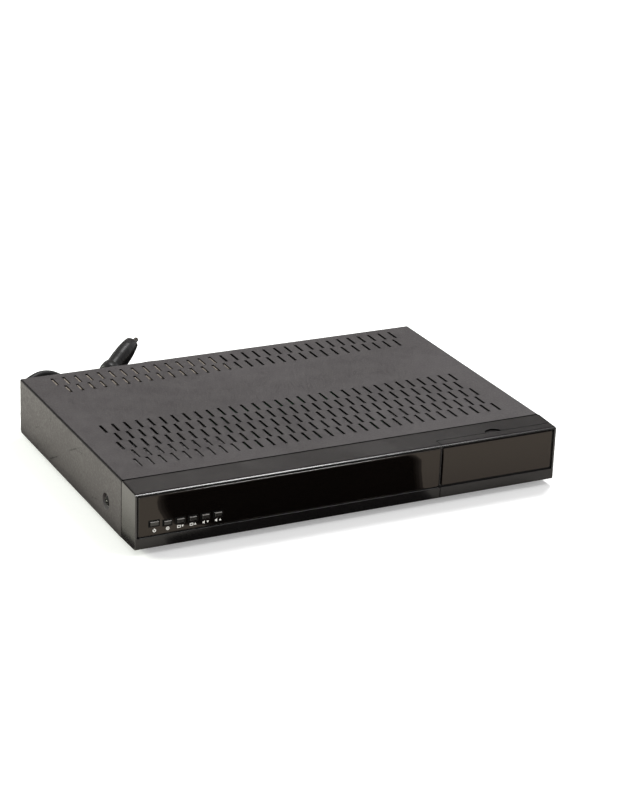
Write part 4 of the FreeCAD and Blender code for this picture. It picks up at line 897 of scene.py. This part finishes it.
makeSatelliteJacks(jackSet)
makePhonoCores(jackSet)
makeContacts(contactSet)
makeLinings(liningSet)
print("rear connectors made")

# seen through the cooling slots: a folded insulating card over the supply, a foam pad on the disk
padSet = {
    "card": ((-160.0, 79.0), (-8.0, 108.5), 46.3, 0.6),  # low corner, high corner, underside, thickness
    "cardFold": 4.0,
    "foam": ((-156.0, -91.0), (-66.0, -51.5), 40.6, 6.2),
    "foamRound": 1.6,
}


def makePads(s):
    bm = bmesh.new()
    (x0, y0), (x1, y1), low, thick = s["card"]
    fold = s["cardFold"]
    strip = [(y0, low - fold), (y0, low), (y1, low), (y1, low + thick), (y0 - thick, low + thick),
             (y0 - thick, low - fold)]
    addPrism(bm, strip, 0, x1 - x0, (x0, 0, 0), alongX)
    addPiece("supplyCard", bm, "tanCard")

    bm = bmesh.new()
    (x0, y0), (x1, y1), low, thick = s["foam"]
    addBox(bm, (x0, y0, low), (x1, y1, low + thick))
    bmesh.ops.bevel(bm, geom=list(bm.edges), offset=s["foamRound"] * mm, segments=3, affect="EDGES", profile=0.5)
    addPiece("diskPad", bm, "greyFoam")


makePads(padSet)
print("inner pads made")

# thin trim of the front: rims of painted shade in the key windows, bevel with a painted highlight and bead of the gloss
# panel, liners of painted shade, floor of the notch
frontSet = {
    # left edge, width and lower edge of each window
    "windows": [(-159.0, 7.4, 21.1), (-148.4, 6.4, 20.1), (-138.6, 6.4, 20.1), (-129.0, 6.4, 20.1),
                (-119.4, 6.4, 20.1), (-109.8, 6.4, 20.1)],
    "windowHigh": 4.0,
    "rim": (0.95, 0.3, 0.25, 0.95),  # painted shade round each window, widest at the left and above: left, right, below, above
    "rimDeep": (-0.05, 0.1),  # front and back of the rims, from the face
    "faceY": -121.35,
    "bevel": ((-167.4, 14.1), (71.4, 44.7), 1.2),  # corners of the gloss panel and their radius
    "bevelSection": [(-0.41, -0.1), (0.1, 0.41), (-0.41, 0.41)],  # outward and back
    "bevelSteps": 6,
    "lip": (-167.0, 71.0, 13.6),  # ends and height of the bead below the panel
    "bead": [(-122.13, -0.02), (-121.6, -0.02), (-121.6, 0.27), (-121.84, 0.27)],  # its section as (y, above the lip)
    # boxes of painted shade inside the seam, low at both ends, and behind the end of the door
    "liners": [((-168.3, -98.4, 5.2), (-167.6, -94.8, 17)), ((167.6, -98.4, 5.2), (168.3, -94.8, 17)),
               ((167.3, -113.6, 9.0), (167.95, -112.0, 44.5))],
    "tabX": 121.0,
    "tabSteps": 24,
    "tabHalf": 6.6,
    "tabFront": -113.05,
    "tabBack": -107.6,
    "tabThick": 0.4,
    "tabDrop": 1.05,
    "topLow": 46.9,  # the moulding's top rises from here, a little towards the back
    "topRise": 0.041,
    "topStart": -120.95,
}


def makeFrontTrim(s):
    bm = bmesh.new()
    left, right, below, above = s["rim"]
    face = s["faceY"]
    low, high = (face + deep for deep in s["rimDeep"])
    for x0, width, z0 in s["windows"]:
        x1, z1 = x0 + width, z0 + s["windowHigh"]
        for a, b, c, d in ((x0 - left, x0, z0 - below, z1 + above), (x1, x1 + right, z0 - below, z1 + above),
                           (x0, x1, z0 - below, z0), (x0, x1, z1, z1 + above)):
            addBox(bm, (a, low, c), (b, high, d))
    addPiece("keyWindowShade", bm, "paintedShadeBlack")

    # polished bevel round the gloss panel, paler than the panel as a painted highlight: one section carried along its
    # outline
    bm = bmesh.new()
    (x0, z0), (x1, z1), radius = s["bevel"]
    centres = ((x0, z1, 1, -1, 180), (x1, z1, -1, -1, 90), (x1, z0, -1, 1, 0), (x0, z0, 1, 1, 270))
    rings = []
    for cx, cz, sx, sz, start in centres:
        for i in range(s["bevelSteps"] + 1):
            a = math.radians(start - 90 / s["bevelSteps"] * i)
            out = (math.cos(a), math.sin(a))
            middle = (cx + sx * radius + radius * out[0], cz + sz * radius + radius * out[1])
            rings.append([bm.verts.new(metres((middle[0] + o * out[0], face + y, middle[1] + o * out[1])))
                          for o, y in s["bevelSection"]])
    for ring, after in zip(rings, rings[1:] + rings[:1]):
        joinRings(bm, ring, after)
    addPiece("panelBevel", finished(bm, "panelBevel", 25), "bevelPlasticWithHighlight")

    bm = bmesh.new()
    left, right, high = s["lip"]
    ends = [[bm.verts.new(metres((x, y, high + z))) for y, z in s["bead"]] for x in (left, right)]
    bm.faces.new(ends[0])
    bm.faces.new(ends[1][::-1])
    joinRings(bm, *ends)
    addPiece("lipBead", bm, "rearPaint")

    # painted shade where the floor would show through a gap
    bm = bmesh.new()
    for low, high in s["liners"]:
        addBox(bm, low, high)
    addPiece("seamLiners", bm, "paintedShadeBlack")

    bm = bmesh.new()
    front, back = s["tabFront"], s["tabBack"]
    curve = [(s["tabX"] + s["tabHalf"] * math.cos(a), front + (back - front) * math.sin(a))
             for a in (math.pi * i / s["tabSteps"] for i in range(s["tabSteps"] + 1))]
    for v in addPrism(bm, curve, 0, s["tabThick"]):
        v.co.z += (s["topLow"] - s["tabDrop"] - s["tabThick"]) * mm + s["topRise"] * (v.co.y - s["topStart"] * mm)
    addPiece("doorTab", bm, "frontMoulding", body="door")


makeFrontTrim(frontSet)
print("front trim made")

# symbols: pictograms under the keys, on and off marks on the mains rocker
symbolSet = {
    "faceY": -121.35,  # front of the gloss panel
    "midZ": 17.9,
    "keys": [(-155.3, "power"), (-145.2, "dot"), (-135.4, "screenDown"), (-125.8, "screenUp"),
             (-116.2, "soundDown"), (-106.6, "soundUp")],
    "rockerX": -128.0,
    "rockerZ": 26.0,
    "pivotY": 110.55,
    "tip": 12.0,
    "thick": (-0.01, 0.03),  # of the ink, below and above the face
    "rockerThick": (-0.02, 0.03),
    "rockerRise": 1.6,
    "rockerOut": 3.8,
    "rockerSlope": (1.5, 7.2),
}


def arcBand(outer, inner, start, end, steps=28):
    angles = [math.radians(start + (end - start) * i / steps) for i in range(steps + 1)]
    return ([(outer * math.cos(a), outer * math.sin(a)) for a in angles]
            + [(inner * math.cos(a), inner * math.sin(a)) for a in reversed(angles)])


def shifted(outline, dx):
    return [(x + dx, y) for x, y in outline]


def frameBars(width, high, line):
    w, h = width / 2, high / 2
    return [oblong(-w, -h, w, -h + line), oblong(-w, h - line, w, h), oblong(-w, -h + line, -w + line, h - line),
            oblong(w - line, -h + line, w, h - line)]


def ringBands(outer, inner):
    # two halves, since the outline of a whole ring would touch itself
    return [arcBand(outer, inner, 0, 180), arcBand(outer, inner, 180, 360)]


symbols = {
    "power": [arcBand(1.3, 0.75, 128, 412), oblong(-0.26, 0.1, 0.26, 1.5)],
    "dot": ringBands(1.3, 0.8) + [arcBand(0.45, 0.01, 0, 359)],
}
up = [(-0.9, -0.7), (0.9, -0.7), (0.0, 0.9)]
down = [(-0.9, 0.7), (0.0, -0.9), (0.9, 0.7)]
screen = frameBars(2.7, 2.0, 0.46)
speaker = [[(-1.2, -0.55), (-0.45, -0.55), (0.45, -1.3), (0.45, 1.3), (-0.45, 0.55), (-1.2, 0.55)]]
for start, shape in (("screen", screen), ("sound", speaker)):
    for end, arrow in (("Up", up), ("Down", down)):
        symbols[start + end] = [shifted(part, -1.3) for part in shape] + [shifted(arrow, 1.5)]


def makeSymbols(s):
    bm = bmesh.new()
    for x, kind in s["keys"]:
        for part in symbols[kind]:
            addPrism(bm, part, *s["thick"], (x, s["faceY"], s["midZ"]), againstY)
    addPiece("keySymbols", bm, "legendInk")

    bm = bmesh.new()
    turn, toBack = turnBy(-s["tip"], "Z"), alongY @ turnBy(180, "Z")
    slope, out = math.atan2(*s["rockerSlope"]), s["rockerOut"]
    for side, parts in ((-1, ringBands(1.35, 0.95)), (1, frameBars(0.45, 3.0, 0.22))):
        seat = Matrix.Translation((side * out * mm, (s["rockerRise"] + out * math.tan(slope)) * mm, 0))
        lean = Matrix.Rotation(side * slope, 4, "Z")
        for part in parts:
            addPrism(bm, part, *s["rockerThick"], (s["rockerX"], s["pivotY"], s["rockerZ"]),
                     turn @ seat @ lean @ toBack)
    addPiece("rockerSymbols", bm, "legendInk", body="rocker")


makeSymbols(symbolSet)
print("symbols made")

# pieces on the cord: strain relief at the case, plug, tie
bushSet = {
    "x": -156.0,
    "z": 26.0,
    "panelY": 111.15,
    "reach": 22.0,
    "flange": 6.8,
    "rings": 7,
    "ringStart": 4.3,
    "ring": lengths(dict(Pitch=2.75, First_Radius=5.4, Last_Radius=3.95, Thickness=1.75)),
}
plugSet = {
    "face": (-44.0, 210.5, 16.2),
    "heading": 40.3,
    "lean": 30.3,
    "grip": 37.5,
    "neck": 22.0,
    # (distance back from the face, half width, half thickness)
    "sections": [(0.0, 16.6, 5.6), (0.35, 17.3, 6.4), (1.1, 17.8, 6.9), (3.0, 18.1, 7.2), (8.0, 18.2, 7.5),
                 (12.0, 17.9, 7.6), (18.0, 16.4, 7.4), (24.0, 13.6, 7.0), (30.0, 10.4, 6.6), (34.0, 8.5, 6.4),
                 (37.0, 7.0, 6.1), (37.9, 5.6, 5.2)],
    "grooves": (14.5, 17.5, 20.5, 23.5, 26.5, 29.5),
    "groove": (0.45, 0.9),  # depth and half width
    # rounded knob at the end of the grip: (radius, distance back)
    "collar": [(0, 30.0), (6.0, 30.2), (7.1, 30.9), (7.75, 32.2), (8.0, 34.5), (8.0, 38.5), (7.7, 41.0), (6.9, 42.9),
               (5.4, 44.0), (0, 44.2)],
    "sides": 72,
    "pins": (-9.3, 9.3),
    "pin": [(0, -0.5), (2.6, -0.5), (2.6, 0.25), (2.06, 0.35), (2.06, 9.8), (0, 9.8)],
    "rings": 5,
    "ringStart": 7.4,
    "ring": lengths(dict(Pitch=2.9, First_Radius=5.0, Last_Radius=3.95, Thickness=1.8)),
}
tieSet = {"middle": (-25.3, 160.2), "angle": -35.0, "radius": 33.0, "halfSpan": 9.45, "high": 12.45, "width": 3.0,
          "thick": 0.8, "corner": 2.6, "foot": 0.45, "cornerSteps": 8,
          # the twisted ends: start in from the corner and below it, way out and down, then their sizes
          "endStart": (1.0, 0.4), "endLean": (0.77, 0.63), "endLength": 12, "endWidth": 2.2, "endTurns": 3,
          "endSteps": 48, "apart": 0.75}


def grownRings(s, look):
    return grown(ringTree, pointMesh([(0, 0, 0)]), Count=s["rings"], Material=finish[look], **s["ring"])


def makeBush(s):
    bm = bmesh.new()
    profile = [(3.0, -5), (6.5, -5), (6.5, -1), (5.0, -1), (5.0, 0), (s["flange"] - 0.5, 0), (s["flange"], 0.5),
               (s["flange"], 1.5), (s["flange"] - 0.6, 2.0), (5.2, 2.3), (4.6, 3.0), (3.45, s["reach"] - 0.8),
               (3.1, s["reach"]), (0.0, s["reach"])]
    addSpun(bm, profile, 40, (s["x"], s["panelY"], s["z"]))
    core = finished(bm, "bushCore")
    rings = grownRings(s, "cordSheath")
    rings.transform(Matrix.Translation(metres((s["x"], s["panelY"] + s["ringStart"], s["z"]))) @ alongY)
    return addPiece("cordBush", joinedMesh([core, rings], "cordBush"), "plugMoulding",
                    replaced=["cord_bush"])


def plugFrame(s):
    heading, lean = math.radians(s["heading"]), math.radians(s["lean"])
    ahead = Vector((math.sin(heading), math.cos(heading), 0))
    upward = Vector((0, 0, 1))
    side = ahead.cross(upward)
    wide = upward * math.cos(lean) + side * math.sin(lean)
    thin = ahead.cross(wide)
    return Matrix.Translation(metres(s["face"])) @ Matrix((wide, ahead, -thin)).transposed().to_4x4()


def smoothAt(rows, t):
    # width and thickness at a distance behind the face
    for a, b in zip(rows, rows[1:]):
        if t <= b[0]:
            k = (t - a[0]) / (b[0] - a[0])
            return [p + (q - p) * k for p, q in zip(a[1:], b[1:])]
    return rows[-1][1:]


def makePlug(s):
    bm = bmesh.new()
    rings = []
    deep, halfGroove = s["groove"]
    last = s["sections"][-1][0]
    stops = sorted(set([row[0] for row in s["sections"]] + [i * 0.5 for i in range(3, int(last * 2))] + [last]))
    for back in stops:
        wide, thick = smoothAt(s["sections"], back)
        groove = max([max(0.0, 1 - abs(back - g) / halfGroove) for g in s["grooves"]])
        ring = []
        for i in range(s["sides"]):
            a = 2 * math.pi * i / s["sides"]
            flat = abs(math.sin(a)) ** 3
            t = thick - deep * groove * flat
            # two flat sides and two round ends
            along = (wide - thick) * max(-1.0, min(1.0, 1.6 * math.cos(a)))
            ring.append(bm.verts.new(((along + t * math.cos(a)) * mm, -back * mm, t * math.sin(a) * mm)))
        rings.append(ring)
    for a, b in zip(rings, rings[1:]):
        joinRings(bm, a, b)
    bm.faces.new(rings[0])
    bm.faces.new(rings[-1][::-1])
    neck = [(0, 0), (4.7, 0), (3.4, s["neck"] - 0.8), (3.1, s["neck"]), (0, s["neck"])]
    addSpun(bm, neck, 36, (0, -s["grip"], 0), againstY)
    addSpun(bm, s["collar"], 48, (0, 0, 0), againstY)
    for x in s["pins"]:
        addSpun(bm, s["pin"], 28, (x, 0, 0))
    body = finished(bm, "plugBody", 40)
    rings = grownRings(s, "plugMoulding")
    rings.transform(Matrix.Translation(metres((0, -(s["grip"] + s["ringStart"]), 0))) @ againstY)
    whole = joinedMesh([body, rings], "mainsPlugBody")
    whole.transform(plugFrame(s))
    for v in whole.vertices:
        v.co.z = max(v.co.z, 0.05 * mm)  # flat where it rests on the floor
    return addPiece("mainsPlugBody", whole, "plugMoulding", replaced=["mains_plug"])


def sweptBand(bm, path, acrosses, outs, width, thick, closed=False):
    # a flat band along a closed or open path; widths in millimetres, the path in metres
    rings = [[bm.verts.new(point + across * (a * width * mm / 2) + out * (b * thick * mm / 2))
              for a, b in oblong(-1, -1, 1, 1)] for point, across, out in zip(path, acrosses, outs)]
    for a, b in zip(rings, rings[1:] + rings[:closed]):
        joinRings(bm, a, b)
    if not closed:
        bm.faces.new(rings[0][::-1])
        bm.faces.new(rings[-1])


def makeTie(s):
    bm = bmesh.new()
    angle = math.radians(s["angle"])
    radial = Vector((math.cos(angle), math.sin(angle), 0))
    across = Vector((-math.sin(angle), math.cos(angle), 0))
    upward = Vector((0, 0, 1))
    middle = Vector((*s["middle"], 0)) + radial * s["radius"]
    corner, steps = s["corner"], s["cornerSteps"]
    wide, top, foot = s["halfSpan"] - corner, s["high"] - corner, corner + s["foot"]
    path, outs = [], []
    for cx, cz, start in ((wide, top, 0), (-wide, top, 90), (-wide, foot, 180), (wide, foot, 270)):
        for i in range(steps + 1):
            a = math.radians(start + 90 * i / steps)
            out = radial * math.cos(a) + upward * math.sin(a)
            path.append((middle + radial * cx + upward * cz + out * corner) * mm)
            outs.append(out)
    sweptBand(bm, path, [across] * len(path), outs, s["width"], s["thick"], True)
    # two ends twisted together
    (inset, below), (out, down) = s["endStart"], s["endLean"]
    base = middle + radial * (s["halfSpan"] - inset) + upward * (s["high"] - below)
    ahead = (radial * out - upward * down).normalized()
    for phase in (0.0, math.pi):
        sides, points, acrosses = [], [], []
        for i in range(s["endSteps"] + 1):
            t = i / s["endSteps"]
            a = phase + t * 2 * math.pi * s["endTurns"]
            side = across * math.cos(a) + ahead.cross(across) * math.sin(a)
            points.append((base + ahead * (s["endLength"] * t) + side * s["apart"]) * mm)
            acrosses.append(ahead.cross(side))
            sides.append(side)
        sweptBand(bm, points, acrosses, sides, s["endWidth"], s["thick"])
    return addPiece("cordTie", finished(bm, "cordTie", 50), "cordSheath",
                    replaced=["cord_tie"])


cordPieces = [makeBush(bushSet), makePlug(plugSet), makeTie(tieSet)]
print("plug, strain relief and tie made")

# the mains cord: free stretches given as listed points, the turns of the coil by a loop
cordSet = {
    "diameter": 6 * mm,
    "length": 1.42,
    "coilMiddle": (-25.3, 160.2),
    "turnRadii": (39.0, 33.0, 27.0, 27.0, 33.0, 39.0),
    "turnHeights": (3.1, 3.1, 3.1, 9.1, 9.1, 9.1),
    "joinAngle": 150.0,
    "turnSpan": 2040.0,
    "crossStart": 260.0,  # where each turn begins to step over to the next
    "crossSpan": 80.0,
    "step": 20.0,
    "inward": 2.2,
}
leadRoute = [
    (-156.0, 133.15, 26.0), (-156.0, 144.1, 26.0), (-151.8, 154.1, 25.4), (-143.8, 161.7, 26.0),
    (-133.6, 166.0, 27.9), (-122.9, 167.3, 25.9), (-113.0, 167.0, 19.2), (-104.0, 163.5, 8.9),
    (-91.3, 158.9, 4.2), (-77.8, 160.0, 3.1), (-66.6, 167.1, 3.1), (-59.1, 179.7, 3.1),
]
tailRoute = [
    (-25.3, 121.2, 9.1), (-36.4, 120.3, 9.1), (-47.7, 118.6, 9.2), (-59.1, 116.4, 9.7),
    (-70.0, 116.4, 10.6), (-79.9, 120.6, 11.8), (-87.4, 127.7, 13.1), (-91.8, 137.1, 14.4),
    (-92.4, 147.4, 15.5), (-89.1, 157.2, 16.2), (-82.5, 165.1, 16.2),
]


def coilRoute(s):
    points = []
    outward = 1 / math.cos(math.radians(s["step"] / 2))
    for i in range(1, int(s["turnSpan"] / s["step"])):
        turned = i * s["step"]
        passed = min(max((turned - s["crossStart"]) // 360, -1), 4)
        across = min(max((turned - s["crossStart"] - 360 * passed) / s["crossSpan"], 0), 1) if passed >= 0 else 0
        across = across * across * (3 - 2 * across)
        stage = int(max(passed, 0))
        a, b = s["turnRadii"][stage], s["turnRadii"][min(stage + 1, 5)]
        radius = a + (b - a) * across
        low, high = s["turnHeights"][stage], s["turnHeights"][min(stage + 1, 5)]
        if stage == 2:
            radius -= s["inward"] * math.sin(math.pi * across)
        angle = math.radians(s["joinAngle"] - turned)
        x, y = s["coilMiddle"]
        points.append((x + radius * outward * math.cos(angle), y + radius * outward * math.sin(angle),
                       low + (high - low) * across))
    return points


def makeCord(s):
    route = leadRoute + coilRoute(s) + tailRoute
    data = bpy.data.curves.new("mainsCord", "CURVE")
    data.dimensions = "3D"
    spline = data.splines.new("NURBS")
    spline.points.add(len(route) - 1)
    for point, spot in zip(spline.points, route):
        point.co = metres(spot) + [1.0]
    spline.order_u = 3
    spline.use_endpoint_u = True
    spline.resolution_u = 6
    data.bevel_depth = s["diameter"] / 2
    data.bevel_resolution = 5
    data.use_fill_caps = True
    data.materials.append(finish["cordSheath"])
    cord = addObject("mainsCord", data)
    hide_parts("cord_lead", "cord_coil", "cord_tail")
    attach(cord, "case")


makeCord(cordSet)
print("cord laid")

# floor, light and background
stageSet = {
    "floorSeen": (0.97, 0.97, 0.97, 1),
    "floorColour": (0.98, 0.94, 0.87, 1),  # what the object's gloss picks up
    "floorGlow": 0.3,
    "worldLight": 0.55,
    "worldSeen": 1.0,
    "lamps": {
        # name: (place, width, height, power, colour)
        "keyBox": ((0.78, 0.55, 1.92), 0.45, 0.5, 28.0, (1, 1, 1)),
        "leftFill": ((-2.0, 1.0, 0.9), 1.0, 0.6, 46.0, (0.94, 1.0, 0.86)),
        "edgeStrip": ((0.77, -0.92, 1.68), 0.48, 0.22, 5.5, (1, 1, 1)),
    },
    "longSides": {"edgeStrip": (1.0, 0.1, -0.2)},  # other lamps have a level long side
    # dark flags that only reflections see: one with soft ends in front of the gloss panel, the floor behind and
    # beside the case, and one for the lower half of the front edge
    "panelFlag": {
        "left": [(-143, -123.5), (-139, -143), (-100, -146), (-104, -151), (-122, -158), (-127, -170), (-124, -188),
                 (-120, -200), (-112, -215), (-108, -236)],
        "right": [(92, -213), (100, -208), (100, -198), (90, -180), (76, -152), (72, -123.5)],
        "steps": [(0, 0.3), (2.5, 0.14), (5, 0.06), (7, 0.02)],  # how far in, and how dark
    },
    "floorFlags": [
        [(-140, 180), (2000, 180), (2000, 2500), (-400, 2500), (-400, 260), (-140, 260)],
        oblong(-179, -110, -171, 225),
    ],
    "edgeFlag": ((1.05, -1.52, 1.69), 2.0, 2.0),
    "flagColour": (0.02, 0.018, 0.018, 1),
    "flagTint": (1, 0.95, 0.92),
    "flagLift": (0.0006, 0.0003),  # above the floor, and each further step
    "floorSize": (30, 30),
    "cardPlace": (1.6, 2.4, 1.4),  # dark card behind, out of view, for depth in the gloss
    "cardSize": (3.8, 1.8),
    "cardColour": (0.37, 0.35, 0.357, 1),
}


def plainSheet(name, corners, colour, spot=(0, 0, 0), turn=(0, 0, 0)):
    bm = bmesh.new()
    bm.faces.new([bm.verts.new((x, y, 0)) for x, y in corners])
    mesh = bpy.data.meshes.new(name)
    bm.to_mesh(mesh)
    bm.free()
    material = bpy.data.materials.new(name)
    material.use_nodes = True
    inputs = material.node_tree.nodes["Principled BSDF"].inputs
    for label, value in (("Base Color", colour), ("Roughness", 0.9), ("Specular IOR Level", 0.0)):
        inputs[label].default_value = value
    mesh.materials.append(material)
    sheet = addObject(name, mesh)
    sheet.location, sheet.rotation_euler = spot, turn
    return sheet


def centredSheet(width, height):
    return oblong(-width / 2, -height / 2, width / 2, height / 2)


def makeStage(s):
    floor = plainSheet("floor", centredSheet(*s["floorSize"]), s["floorColour"])
    tree = floor.data.materials[0].node_tree
    rays = tree.nodes.new("ShaderNodeLightPath").outputs
    inputs = tree.nodes["Principled BSDF"].inputs
    feed(tree, inputs["Base Color"], mixColours(tree, rays["Is Camera Ray"], s["floorColour"], s["floorSeen"]))
    feed(tree, inputs["Emission Color"], (1, 1, 1, 1))
    feed(tree, inputs["Emission Strength"], product(tree, rays["Is Camera Ray"], s["floorGlow"]))

    card = plainSheet("darkCard", centredSheet(*s["cardSize"]), s["cardColour"], s["cardPlace"],
                      (math.radians(90), 0, 0))
    card.visible_camera = False

    lift, step = s["flagLift"]
    flags = [plainSheet("floorFlag%d" % i, sized(corners), s["flagColour"], (0, 0, lift))
             for i, corners in enumerate(s["floorFlags"])]
    soft = s["panelFlag"]
    for i, (inward, level) in enumerate(soft["steps"]):
        corners = shifted(soft["left"], inward) + shifted(soft["right"], -inward)
        flags.append(plainSheet("panelFlag%d" % i, sized(corners), shade(s["flagTint"], level),
                                (0, 0, lift + step * i)))
    spot, *size = s["edgeFlag"]
    flags.append(plainSheet("edgeFlag", centredSheet(*size), s["flagColour"], spot,
                            (-Vector(spot)).to_track_quat("-Z", "Y").to_euler()))
    for sheet in flags:
        sheet.visible_camera = sheet.visible_diffuse = sheet.visible_shadow = sheet.visible_transmission = False

    world = bpy.data.worlds.new("studio")
    bpy.context.scene.world = world
    world.use_nodes = True
    tree = world.node_tree
    inputs = tree.nodes["Background"].inputs
    rays = tree.nodes.new("ShaderNodeLightPath").outputs
    seen = mathNode(tree, "MAXIMUM", rays["Is Camera Ray"], rays["Is Glossy Ray"])
    seen = mathNode(tree, "MAXIMUM", seen, rays["Is Transmission Ray"])
    feed(tree, inputs["Color"], (1, 1, 1, 1))
    feed(tree, inputs["Strength"], spread(tree, seen, 0, 1, s["worldLight"], s["worldSeen"]))

    for name, (spot, width, height, power, colour) in s["lamps"].items():
        data = bpy.data.lights.new(name, "AREA")
        data.shape = "RECTANGLE"
        data.size, data.size_y = width, height
        data.energy = power
        data.color = colour
        lamp = addObject(name, data)
        lamp.location = spot
        # faces the object
        ahead = -Vector(spot).normalized()
        side = Vector(s["longSides"].get(name, ahead.cross(Vector((0, 0, 1)))))
        side = (side - ahead * side.dot(ahead)).normalized()
        lamp.rotation_euler = Matrix((side, side.cross(ahead), -ahead)).transposed().to_euler()


makeStage(stageSet)
bpy.context.scene.view_settings.view_transform = "Standard"
